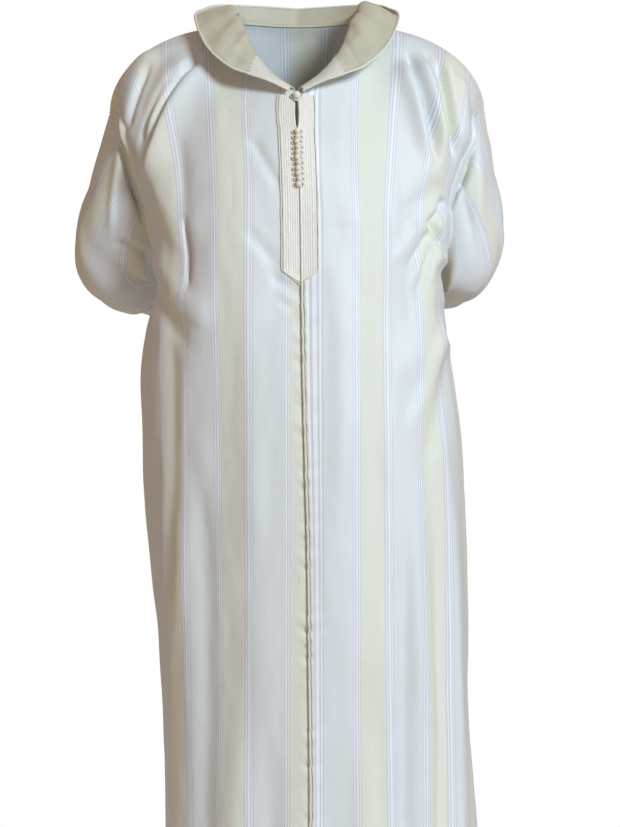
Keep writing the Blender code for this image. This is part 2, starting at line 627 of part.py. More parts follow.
def knot_mesh(name, radius):
    """A small round knot, as rings of points between two poles."""
    points = [(0.0, 0.0, radius)]
    for i in range(1, KNOT_LEVELS):
        angle = math.pi * i / KNOT_LEVELS
        for j in range(KNOT_AROUND):
            turn = 2 * math.pi * j / KNOT_AROUND
            points.append((radius * math.sin(angle) * math.cos(turn),
                           radius * math.sin(angle) * math.sin(turn), radius * math.cos(angle)))
    points.append((0.0, 0.0, -radius))
    last = len(points) - 1
    faces = []
    for j in range(KNOT_AROUND):
        k = (j + 1) % KNOT_AROUND
        faces.append((0, 1 + j, 1 + k))
        faces.append((last, last - KNOT_AROUND + k, last - KNOT_AROUND + j))
        for i in range(KNOT_LEVELS - 2):
            a, b = 1 + i * KNOT_AROUND, 1 + (i + 1) * KNOT_AROUND
            faces.append((a + j, b + j, b + k, a + k))
    mesh = bpy.data.meshes.new(name)
    mesh.from_pydata(points, [], faces)
    mesh.update()
    return mesh


def cord_mesh(name, points, radius, up, closed):
    """A round cord through a list of points, with flat ends unless it closes on itself."""
    points = np.asarray(points, float)
    if closed:
        ahead = np.roll(points, -1, axis=0) - np.roll(points, 1, axis=0)
    else:
        ahead = np.gradient(points, axis=0)
    ahead /= np.linalg.norm(ahead, axis=1)[:, None]
    first = np.cross(ahead, up)
    first /= np.linalg.norm(first, axis=1)[:, None]
    second = np.cross(ahead, first)
    verts = []
    for point, a, b in zip(points, first, second):
        for i in range(CORD_SIDES):
            turn = 2 * math.pi * i / CORD_SIDES
            verts.append(point + (a * math.cos(turn) + b * math.sin(turn)) * radius)
    count = len(points)
    faces = []
    for j in range(count if closed else count - 1):
        here, there = j * CORD_SIDES, (j + 1) % count * CORD_SIDES
        for i in range(CORD_SIDES):
            k = (i + 1) % CORD_SIDES
            faces.append((here + i, here + k, there + k, there + i))
    if not closed:
        faces.append(tuple(range(CORD_SIDES))[::-1])
        faces.append(tuple((count - 1) * CORD_SIDES + i for i in range(CORD_SIDES)))
    mesh = bpy.data.meshes.new(name)
    mesh.from_pydata([tuple(vert) for vert in verts], [], faces)
    mesh.update()
    return mesh


def rim_line(grid):
    """Points beside the free rim of a hood or facing grid, where its edge cord runs."""
    step = grid[-1] - grid[-2]
    step /= np.linalg.norm(step, axis=1)[:, None]
    return grid[-1] + step * (RIM_CORD_RADIUS + SEAM_GAP / 2)


def main():
    for old in list(bpy.data.objects):
        bpy.data.objects.remove(old, do_unlink=True)

    striped = material("striped_satin")
    hood_cloth = material("hood_satin")
    braid = material("silk_braid")
    knot = material("silk_knot")

    # The body: two fronts and a back on one surface, first smooth, then folded.
    grids = {(side, face): panel_grid(side, face) for side in (-1, 1) for face in ("front", "back")}
    smooth = facet_normals([(grid, False) for grid in grids.values()])
    for (side, face), grid in grids.items():
        out = grid_normals(grid, smooth)
        rise = fold_rise(grid.reshape(-1, 3), face).reshape(grid.shape[:2])
        columns = [share for share, edge, place_at in panel_columns(face)]
        shares = np.array(columns if faces_out(side, face) else columns[::-1])
        rise *= 1 - smooth_step((shares - FOLD_FREE) / (1 - FOLD_FREE))[None, :]
        rise[0] = 0.0
        grid += out * rise[:, :, None]

    # The sleeves start on the armholes of the folded body.
    armholes = {}
    for side in (-1, 1):
        front = grids[side, "front"][:UPPER_ROWS + 1, -1 if faces_out(side, "front") else 0]
        back = grids[side, "back"][:UPPER_ROWS + 1, -1 if faces_out(side, "back") else 0]
        armholes[side] = np.vstack((front, back[-2:0:-1]))
    sleeves = {side: sleeve_grid(side, armholes[side]) for side in (-1, 1)}
    for side in sleeves:
        if side > 0:
            sleeves[side] = sleeves[side][:, ::-1]

    whole = [(grid, False) for grid in grids.values()] + [(grid, True) for grid in sleeves.values()]
    normals = facet_normals(whole)
    cloth_piece("front_right_panel", grids[-1, "front"], normals, False, striped)
    cloth_piece("front_left_panel", grids[1, "front"], normals, False, striped)
    back = np.hstack((grids[1, "back"][:, :-1], grids[-1, "back"]))
    cloth_piece("back_panel", back, normals, False, striped)
    cloth_piece("sleeve_right", sleeves[-1], normals, True, striped)
    cloth_piece("sleeve_left", sleeves[1], normals, True, striped)

    # The hood, the facings beside the V, and the cord along their rim.
    right = collar_grid(-1, FACING_END, 1.0, HOOD_ROWS)
    left = collar_grid(1, FACING_END, 1.0, HOOD_ROWS)
    hood = np.hstack((right[:, :-1], left[:, ::-1]))
    cloth_piece("hood", hood, facet_normals([(hood, False)]), False, hood_cloth)
    right_facing = collar_grid(-1, 0.0, FACING_END, FACING_ROWS)
    left_facing = collar_grid(1, 0.0, FACING_END, FACING_ROWS)[:, ::-1]
    cloth_piece("neck_facing_right", right_facing, facet_normals([(right_facing, False)]), False, hood_cloth)
    cloth_piece("neck_facing_left", left_facing, facet_normals([(left_facing, False)]), False, hood_cloth)
    rim = np.vstack((rim_line(right_facing)[:-1], rim_line(hood), rim_line(left_facing)[1:]))
    place("hood_edge_cord", cord_mesh("hood_edge_cord", rim, RIM_CORD_RADIUS, (0.0, 0.0, 1.0), False), braid)

    # The braid of the placket, the cord below it and the knots.
    # These read the fronts with the centre edge first.
    right_front = grids[-1, "front"][:, ::-1]
    left_front = grids[1, "front"]
    right_out = grid_normals(right_front, normals)
    left_out = grid_normals(left_front, normals)
    placket_braid("placket_braid_right", right_front, right_out, -1, braid)
    placket_braid("placket_braid_left", left_front, left_out, 1, braid)
    front_cord("centre_front_cord", left_front, left_out, right_front, right_out, braid)

    def on_placket(z, lift):
        """A point over the middle of the placket, lifted off the low inner edges of its braid."""
        on_right, out_right = lying_point(right_front, right_out, 0.0, z)
        on_left, out_left = lying_point(left_front, left_out, 0.0, z)
        out = (out_right + out_left) / np.linalg.norm(out_right + out_left)
        return (on_right + on_left) / 2 + out * (CLOTH / 2 + LIE_GAP + BRAID + lift), out

    mesh = knot_mesh("knot", KNOT_RADIUS)
    for number in range(KNOTS):
        piece = place(f"knot_{number + 1:02d}", mesh.copy(), knot)
        piece.location = on_placket(KNOT_FIRST_Z - number * KNOT_PITCH, KNOT_RADIUS + SEAM_GAP)[0]
    piece = place("neck_knot", knot_mesh("neck_knot", NECK_KNOT_RADIUS), knot)
    piece.location = on_placket(NECK_KNOT_Z, NECK_KNOT_RADIUS + LIE_GAP)[0]
    middle, out = on_placket(NECK_KNOT_Z, BRAID_RISE + LOOP_CORD_RADIUS + LIE_GAP)
    across = np.array((1.0, 0.0, 0.0))
    down = np.cross(out, across)
    turns = np.arange(LOOP_POINTS) / LOOP_POINTS * 2 * math.pi
    ring = [middle + (across * math.cos(turn) + down * math.sin(turn)) * LOOP_RADIUS for turn in turns]
    place("neck_loop", cord_mesh("neck_loop", ring, LOOP_CORD_RADIUS, out, True), knot)


main()
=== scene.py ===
import math
from functools import partial

import bpy
import numpy as np
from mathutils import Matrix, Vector, kdtree, noise


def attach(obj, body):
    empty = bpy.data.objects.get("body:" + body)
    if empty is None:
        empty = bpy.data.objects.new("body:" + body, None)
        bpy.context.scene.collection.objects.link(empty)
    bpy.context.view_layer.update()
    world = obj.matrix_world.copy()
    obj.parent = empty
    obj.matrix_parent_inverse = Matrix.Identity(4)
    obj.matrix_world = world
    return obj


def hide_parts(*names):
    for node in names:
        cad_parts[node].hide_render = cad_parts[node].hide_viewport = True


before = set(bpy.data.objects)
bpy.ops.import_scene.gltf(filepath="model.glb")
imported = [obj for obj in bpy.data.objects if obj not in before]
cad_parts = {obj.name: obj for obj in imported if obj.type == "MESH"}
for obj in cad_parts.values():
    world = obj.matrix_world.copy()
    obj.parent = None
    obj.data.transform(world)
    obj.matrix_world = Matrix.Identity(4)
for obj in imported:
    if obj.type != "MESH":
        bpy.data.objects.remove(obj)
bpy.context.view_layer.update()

scene = bpy.context.scene

studio = {
    "cameraAt": (0.0195, -2.60, -0.575),
    "lens": 75.4,
    "floorZ": -1.50,
    "floorRadius": 1.0,
    "floorCorners": 96,
    "lightsAim": (0.0, 0.0, -0.5),
    # place, size, power, colour
    "lights": {
        "keyLight": ((1.98, -3.25, 1.0), 1.1, 141.0, "#D9ECF8"),
        "fillLight": ((-2.2, -2.0, 0.2), 2.6, 1.5, "#F4EDE2"),
        "backLight": ((0.6, 3.3, 0.5), 1.4, 38.0, "#EEF2F8"),
    },
    "roomColour": "#FFE0C6",  # light that comes back from a warm room
    "roomStrength": 0.34,
    "backdropColour": "#FFFFFF",
    "backdropStrength": 1.0,
    "paperColour": "#F6F6F6",
    "paperRough": 0.9,
}


def toLinear(hexColour, alpha=1.0):
    parts = [int(hexColour[i:i + 2], 16) / 255 for i in (1, 3, 5)]
    return tuple(c / 12.92 if c <= 0.04045 else ((c + 0.055) / 1.055) ** 2.4 for c in parts) + (alpha,)


def feed(tree, socket, value):
    # a node stands for its first output in use
    if isinstance(value, bpy.types.Node):
        value = next(output for output in value.outputs if output.enabled)
    if isinstance(value, bpy.types.NodeSocket):
        tree.links.new(value, socket)
    else:
        socket.default_value = value


def addNode(tree, kind, *feeds, **settings):
    # feeds fill the sockets in use from the first one on; settings name a socket or a choice of the node
    node = tree.nodes.new("ShaderNode" + kind)
    for name, value in settings.items():
        if name in node.inputs:
            feed(tree, node.inputs[name], value)
        else:
            setattr(node, name, value)
    for socket, value in zip([socket for socket in node.inputs if socket.enabled], feeds):
        feed(tree, socket, value)
    return node


def newObject(name, data):
    made = bpy.data.objects.new(name, data)
    scene.collection.objects.link(made)
    return made


def newMaterial(name, finish):
    made = bpy.data.materials.new(name)
    made.use_nodes = True
    shader = made.node_tree.nodes["Principled BSDF"]
    for socket, value in finish.items():
        shader.inputs[socket].default_value = value
    return made, made.node_tree, shader


def buildStudio():
    camera = newObject("viewCamera", bpy.data.cameras.new("viewCamera"))
    camera.location = studio["cameraAt"]
    camera.rotation_euler = (math.radians(90), 0, 0)
    camera.data.lens = studio["lens"]
    scene.camera = camera
    for name, (place, size, power, hexColour) in studio["lights"].items():
        light = newObject(name, bpy.data.lights.new(name, "AREA"))
        light.data.shape = "DISK"
        light.data.size = size
        light.data.energy = power
        light.data.color = toLinear(hexColour)[:3]
        light.location = place
        aim = Vector(place) - Vector(studio["lightsAim"])
        light.rotation_euler = aim.to_track_quat("Z", "Y").to_euler()
    world = bpy.data.worlds.new("studioAir")
    world.use_nodes = True
    tree = world.node_tree
    room = tree.nodes["Background"]
    room.inputs["Color"].default_value = toLinear(studio["roomColour"])
    room.inputs["Strength"].default_value = studio["roomStrength"]
    backdrop = addNode(tree, "Background", toLinear(studio["backdropColour"]), studio["backdropStrength"])
    mixed = addNode(tree, "MixShader", addNode(tree, "LightPath"), room, backdrop)
    feed(tree, tree.nodes["World Output"].inputs["Surface"], mixed)
    scene.world = world
    scene.view_settings.view_transform = "Standard"
    mesh = bpy.data.meshes.new("studioFloor")
    corners = studio["floorCorners"]
    turns = [2 * math.pi * i / corners for i in range(corners)]
    reach = studio["floorRadius"]
    edge = [(reach * math.cos(t), reach * math.sin(t), studio["floorZ"]) for t in turns]
    mesh.from_pydata(edge, [], [tuple(range(corners))])
    # sweeps of pale matte paper give no highlight
    finish = {"Base Color": toLinear(studio["paperColour"]), "Roughness": studio["paperRough"]}
    mesh.materials.append(newMaterial("mattePaper", finish)[0])
    newObject("studioFloor", mesh)


buildStudio()
print("studio ready")


def metres(rows):
    # tables of lengths are in millimetres, and shares of a length in thousandths
    return np.array(rows) / 1000


bodyCut = {
    "hemZ": -1.420,
    "armholeTop": (0.2825, 0.020, -0.120),
    "underarm": (0.205, 0.004, -0.334),
    "panelHalf": 0.336,  # centre to armhole along the cloth
    "chestCentreZ": -0.310,
    "sideStraightZ": -0.520,
    "dipEnd": 0.10,  # the dipped chest row has levelled out this far below it
    "backDraw": 1.3,
    "roundness": 0.56,
    "neckZone": (0.08, 0.42),
    "armholeZone": 0.72,
    "ease": (0.16, 0.61),  # below the neck corner, as shares of the rows above the chest
    "easeReach": {"front": 20, "back": 14},
    # height, x of the front seam, middle, half width, front depth, back depth, bulge
    "levels": metres([
        (-334, 5, 0, 205, 154, 125, 42), (-390, 6, 0, 206, 160, 127, 34),
        (-450, 7, -2, 223, 166, 130, 12), (-520, 8, 0, 234, 170, 135, 4),
        (-600, 10, 7, 238, 174, 142, 2), (-700, 13, 12, 239, 177, 150, 0),
        (-800, 15, 19, 236, 180, 158, 0), (-900, 16, 26, 231, 182, 165, 0),
        (-1000, 17, 31, 226, 184, 171, 0), (-1100, 18, 36, 227, 186, 177, 0),
        (-1200, 18, 40, 229, 189, 182, 0), (-1310, 19, 43, 233, 192, 187, 0),
        (-1420, 19, 46, 236, 195, 191, 0),
    ]),
    # how the cloth leaves the top edge and meets the chest: away from the middle, back and up
    "drape": {
        "front": {"neck": (0.0, -0.075, -0.20), "shoulder": (0.0, -0.270, -0.09),
                  "armhole": (-0.100, -0.250, -0.02), "chest": (0.0, 0.0, -0.20),
                  "underarm": (-0.02, 0.15, -0.30)},
        "back": {"neck": (0.0, 0.110, -0.22), "shoulder": (0.0, 0.260, -0.10),
                 "armhole": (-0.050, 0.240, -0.05), "chest": (0.0, 0.0, -0.25),
                 "underarm": (-0.08, -0.16, -0.25)},
    },
}
slit = {
    "topZ": -0.122,
    "endZ": -0.168,
    "width": 0.0036,
    "near": ((0, 0.02, 0.04), (1, 0.4, 0)),  # at these distances the cloth follows it by these shares
}
neckCut = {
    "shoulderAt": 0.50,
    "facingEnd": 0.25,
    "pointStart": 0.0075,
    "lift": (0.0005, 0.0011),  # towards the neck and up
    # along, seam x y z, rim x y z, then pulls in and up at the seam, halfway and at the rim
    "stations": metres([
        (0, 0, -118, -115, 7.5, -129, -113.5, 2, 4, 1, 6, 0, 4),
        (120, 30, -106, -96, 39, -132, -99, 2, 11, 0, 12, 0, 3),
        (250, 56, -88, -70, 69, -126, -88, 6, 24, 2, 22, 2, 3),
        (370, 81, -52, -34, 100, -112, -72, 16, 40, 12, 36, 6, 3),
        (460, 98, -15, -4, 131, -84, -38, 24, 46, 18, 36, 8, 0),
        (540, 102, 20, 12, 150, -20, 12, 22, 46, 18, 28, 9, -6),
        (660, 85, 55, 20, 140, 52, 43, 8, 40, 4, -24, 6, -36),
        (780, 60, 72, 22, 118, 102, 60, -12, 50, -30, -210, -15, -100),
        (890, 30, 82, 22, 66, 140, 67, -25, 62, -45, -490, -35, -270),
        (1000, 0, 85, 22, 0, 154, 66, -30, 70, -45, -610, -46, -366),
    ]),
}
sleeveCut = {
    # outer line x z on the right and on the left, its depth, inner line x y z, half breadth
    "rings": metres([
        (282.5, -120, 282.5, -120, 20, 205, 4, -334, 72), (309, -190, 299, -180, 52, 236, 21, -345, 74),
        (327, -247, 306, -245, 84, 245, 50, -359, 73), (334, -308, 291, -311, 116, 234, 80, -359, 69),
        (320, -350, 274, -350, 146, 212, 104, -351, 64), (289, -377, 247, -376, 172, 190, 126, -337, 58),
        (249, -401, 214, -396, 193, 164, 144, -334, 53), (204, -426, 178, -415, 210, 134, 160, -336, 49),
        (145, -454, 130, -440, 227, 96, 179, -342, 45), (70, -484, 60, -466, 238, 52, 196, -350, 42),
    ]),
    "armholeRows": 3.5,
    "squareRows": 4.0,
    "crookFolds": 2.5,
    "crookDepth": {-1: 0.0024, 1: 0.0010},
    "creaseShare": 0.45,
    "crookTurn": 0.3,
    "crookSharp": 1.5,
    "crookStart": (0.6, 2.1),
    "crookEnd": (5.8, 7.8),
    "evenRings": 8,  # on each side of a ring, for the layout of the weave
    # ring, turn from the outer line by the front in degrees, reach along in rings and around in degrees,
    # slant, height in millimetres
    "creases": {
        -1: [
            (2.1, 10, 0.6, 40, 0, -11), (5, 70, 0.8, 50, 0, 18), (1.4, 184, 0.7, 32, 0, 54),
            (0.9, 40, 0.3, 46, 0.3, -3), (1.5, 70, 0.32, 50, 0.4, 2.8), (2.4, 120, 0.3, 46, 0.5, -3.6),
            (3, 128, 0.26, 44, 0.4, 3.4), (3.7, 140, 0.28, 46, 0.2, -3.6), (4.4, 136, 0.26, 42, 0.1, 3),
            (5.3, 120, 0.34, 50, -0.2, -3), (6.4, 150, 0.36, 60, -0.2, 2.6), (2, 250, 0.4, 56, -0.4, 3),
            (3.2, 236, 0.34, 52, -0.4, -3.4), (4.3, 230, 0.34, 50, -0.3, 3.4),
            (5.8, 240, 0.4, 56, -0.2, -3),
        ],
        1: [
            (1.9, 166, 0.9, 44, 0, 58), (3, 168, 1, 42, 0, 60), (1.3, 182, 0.6, 28, 0, 50),
            (2.85, 78, 1.35, 56, 0, -47), (0.45, 20, 0.2, 52, 0.2, -3.4), (0.85, 30, 0.2, 56, 0.2, 3),
            (1.3, 36, 0.22, 54, 0.3, -3.6), (1.9, 60, 0.26, 48, 0.3, 2.6),
            (2.6, 118, 0.26, 44, 0.5, -3.6), (3.2, 130, 0.24, 44, 0.4, 3.6),
            (3.8, 138, 0.24, 46, 0.3, -3.8), (4.5, 140, 0.26, 44, 0.1, 3),
            (5.4, 124, 0.34, 50, -0.2, -2.8), (6.5, 150, 0.36, 60, -0.2, 2.6),
            (2.1, 246, 0.4, 56, -0.4, 3), (3.3, 232, 0.34, 52, -0.4, -3.4),
            (4.5, 228, 0.34, 50, -0.3, 3.4), (6, 240, 0.4, 56, -0.2, -3),
        ],
    },
    # folds as lines: distance from the armhole, distance round from the outer line by the front
    "folds": {
        -1: metres([
            (16, 75, 27, 145, 28, 232, 6.2, -17), (8, 62, 50, 124, 94, 192, 8.5, 6),
            (100, 188, 62, 238, 22, 268, 5.6, -8), (124, 196, 90, 246, 46, 284, 7, 4.6),
            (150, 210, 116, 252, 76, 292, 7.5, -5), (232, 120, 226, 180, 212, 250, 11, 3.5),
            (262, 110, 256, 180, 240, 250, 9, -2.6), (60, 60, 120, 62, 190, 50, 16, -4.5),
            (80, 20, 150, 16, 215, 10, 18, 5),
        ]),
        1: metres([
            (12, 85, 22, 140, 16, 220, 6.6, -16), (6, 40, 24, 100, 30, 175, 8, -8.5),
            (28, 60, 56, 120, 80, 190, 12, 5.5), (10, 120, 50, 182, 110, 212, 9, -3),
            (100, 90, 150, 120, 196, 170, 16, 4.5), (140, 160, 176, 200, 180, 255, 9, -3),
            (172, 140, 206, 180, 206, 250, 11, 2.6), (200, 110, 232, 150, 240, 220, 9.5, -3),
            (90, 10, 160, 14, 225, 10, 18, 4.5), (190, 20, 215, 60, 225, 110, 12, -4.5),
        ]),
    },
    "creasesGrow": 0.5,  # rings from the armhole over which the creases grow; then the same for the others
    "foldsGrow": 0.12,
    "swellsGrow": 0.6,
    "aimReach": 0.25,  # rings before and after that aim a ring
    "ringLength": 0.055,
    "turnLength": 0.085,
}
fineness = {
    "neckSteps": 24,
    "shoulderSteps": 54,
    "frontFiner": 2,
    "upperRows": 84,
    "rowStep": 0.0056,
    "sectionSteps": 120,
    "sleeveRings": 120,
    "hoodSteps": 80,
    "hoodRows": 64,
    "facingSteps": 26,
    "facingRows": 18,
    "placketColumns": 22,
}
cloth = {
    "wall": 0.0012,
    "seamHalf": 0.00015,
    "seamDip": 0.0007,
    "sharpAngle": 50,
    "trimGap": 0.0003,
    "leastArea": 0.31,  # of a cut, as a share of its flat size
}


def smoothStep(value):
    t = np.clip(value, 0.0, 1.0)
    return t * t * (3.0 - 2.0 * t)


def between(value, low, high):
    return smoothStep((np.asarray(value, float) - low) / (high - low))


def unit(vectors):
    return vectors / np.linalg.norm(vectors, axis=-1, keepdims=True)


def lengthAlong(points):
    steps = np.linalg.norm(np.diff(points, axis=0), axis=1)
    return np.concatenate(((0,), np.cumsum(steps)))


def atLengths(places, length, values):
    # every column of values at the given places along a line
    return np.column_stack([np.interp(places, length, column) for column in values.T])


def hermite(t, start, startSlope, end, endSlope):
    return (start * (2 * t ** 3 - 3 * t ** 2 + 1) + startSlope * (t ** 3 - 2 * t ** 2 + t)
            + end * (3 * t ** 2 - 2 * t ** 3) + endSlope * (t ** 3 - t ** 2))


def readTable(rows, keyColumn, at):
    # every column of a table at any key, on smooth curves through its rows
    table = np.array(rows, float)
    if table[0, keyColumn] > table[-1, keyColumn]:
        table = table[::-1]
    keys = table[:, keyColumn]
    slopes = np.array([np.gradient(column, keys) for column in table.T]).T
    i = int(np.clip(np.searchsorted(keys, at, side="right") - 1, 0, len(keys) - 2))
    span = keys[i + 1] - keys[i]
    return hermite((at - keys[i]) / span, table[i], slopes[i] * span, table[i + 1], slopes[i + 1] * span)


def handleCurve(points, share):
    t = np.atleast_1d(share)[:, None]
    last = len(points) - 1
    return sum(math.comb(last, i) * (1 - t) ** (last - i) * t ** i * np.asarray(point, float)
               for i, point in enumerate(points))


def neckSeam(along, side):
    row = readTable(neckCut["stations"], 0, along)
    return np.array((side * row[1], row[2], row[3]))


def shoulderLine(share, side):
    start = neckSeam(neckCut["shoulderAt"], side)
    top = bodyCut["armholeTop"]
    turn = share * math.pi / 2
    return np.array((start[0] + (side * top[0] - start[0]) * math.sin(turn),
                     start[1] + (top[1] - start[1]) * share,
                     top[2] + (start[2] - top[2]) * math.cos(turn)))


def levelSection(z, side, face):
    z, seamX, middle, half, front, back, bulge = readTable(bodyCut["levels"], 0, z)
    depth = -front if face == "front" else back
    drawn = half + bulge * (1.0 if face == "front" else -bodyCut["backDraw"])
    underarm = bodyCut["underarm"]
    sideY = underarm[1] * float(between(z, bodyCut["sideStraightZ"], underarm[2]))
    r = bodyCut["roundness"]
    points = ((middle, depth), (middle + side * r * drawn, depth),
              (middle + side * drawn, sideY + r * depth), (middle + side * half, sideY))
    shares = np.linspace(0, 1, fineness["sectionSteps"] + 1)
    return handleCurve(points, shares), (seamX if face == "front" else middle)


def levelRow(z, side, face, shares):
    # points of a half panel at one level, and their distance along the cloth from the plane x = 0
    near, centreX = levelSection(z, side, face)
    whole = np.vstack((levelSection(z, -side, face)[0][::-1], near[1:]))
    length = lengthAlong(whole)
    third = fineness["sectionSteps"] // 3
    acrossX, acrossLength = side * whole[third:5 * third, 0], length[third:5 * third]
    centre, zero = np.interp((side * centreX, 0.0), acrossX, acrossLength)
    places = centre + (length[-1] - centre) * np.asarray(shares)
    return atLengths(places, length, whole), (places - zero) * side


def panelColumns(face):
    # share from the centre to the armhole, the edge above it and the place on that edge
    neckX = abs(neckSeam(neckCut["shoulderAt"], 1)[0]) / bodyCut["panelHalf"]
    columns = []
    for i in range(fineness["neckSteps"]):
        along = i / fineness["neckSteps"] * neckCut["shoulderAt"]
        along = along if face == "front" else 1.0 - along
        columns.append((abs(neckSeam(along, 1)[0]) / bodyCut["panelHalf"], "neck", along))
    steps = fineness["shoulderSteps"] * (fineness["frontFiner"] if face == "front" else 1)
    return columns + [(neckX + (1 - neckX) * i / steps, "shoulder", i / steps) for i in range(steps + 1)]


def easeRows(rows, reach):
    # the corner where the neck meets the shoulder dies away below the seam
    weights = np.exp(-(np.arange(-reach, reach + 1) / (reach / 2)) ** 2)
    weights /= weights.sum()
    share = np.linspace(0, 1, len(rows[0]))[:, None]
    start, end = bodyCut["ease"]
    eased = []
    for down, row in zip(np.linspace(0, 1, len(rows)), rows):
        base = row[0] * (1 - share) + row[-1] * share
        rest = row - base
        padded = np.vstack((-rest[reach:0:-1], rest, -rest[-2:-reach - 2:-1]))
        blurred = sum(weight * padded[i:i + len(row)] for i, weight in enumerate(weights))
        part = float(between(down, 0, start) * (1 - between(down, end, 1.0)))
        eased.append(base + rest * (1 - part) + blurred * part)
    return eased


def panelGrid(side, face):
    # rows from the top edge to the hem, columns from the centre to the side; with the place on the cloth
    columns = panelColumns(face)
    shares = np.array([share for share, edge, place in columns])
    underarm = bodyCut["underarm"]
    chest, chestAlong = levelRow(underarm[2], side, face, shares)
    drop = bodyCut["chestCentreZ"] + (underarm[2] - bodyCut["chestCentreZ"]) * smoothStep(shares)
    bottom = np.column_stack((chest, drop))
    bottom[-1] = (side * underarm[0], underarm[1], underarm[2])
    top = np.array([neckSeam(place, side) if edge == "neck" else shoulderLine(place, side)
                    for share, edge, place in columns])
    drape = {name: np.array(pull) * (side, 1.0, 1.0) for name, pull in bodyCut["drape"][face].items()}
    over = between(shares, *bodyCut["neckZone"])[:, None]
    armhole = between(shares, bodyCut["armholeZone"], 1.0)[:, None]
    pull = drape["neck"] * (1 - over) + drape["shoulder"] * over
    pull = pull * (1 - armhole) + drape["armhole"] * armhole
    lower = drape["chest"] * (1 - armhole) + drape["underarm"] * armhole
    count = fineness["upperRows"]
    rows = [hermite(k / count, top, pull, bottom, lower) for k in range(count + 1)]
    rows = easeRows(rows, bodyCut["easeReach"][face])
    along = [chestAlong] * (count + 1)
    steps = int(round((underarm[2] - bodyCut["hemZ"]) / fineness["rowStep"]))
    for z in np.linspace(underarm[2], bodyCut["hemZ"], steps + 1)[1:]:
        row, rowAlong = levelRow(z, side, face, shares)
        dipped = between(z, underarm[2] - bodyCut["dipEnd"], underarm[2])
        rows.append(np.column_stack((row, z + (drop - underarm[2]) * dipped)))
        along.append(rowAlong)
    grid = np.array(rows)
    if face == "front":
        grid[0, 0] = neckSeam(0.0, side)
        reach = np.clip((grid[:, 0, 2] - slit["endZ"]) / (slit["topZ"] - slit["endZ"]), 0, 1)
        half = slit["width"] / 2 * np.sqrt(np.clip(np.sin(math.pi * reach), 0, 1))
        follow = np.interp(shares * bodyCut["panelHalf"], *slit["near"])
        grid[:, :, 0] += side * half[:, None] * follow[None, :]
    down = np.cumsum(np.linalg.norm(np.diff(grid, axis=0), axis=2), axis=0)
    down = np.vstack((np.zeros((1, grid.shape[1])), down))
    down -= down[count]
    return grid, np.dstack((np.array(along), down - underarm[2])), shares


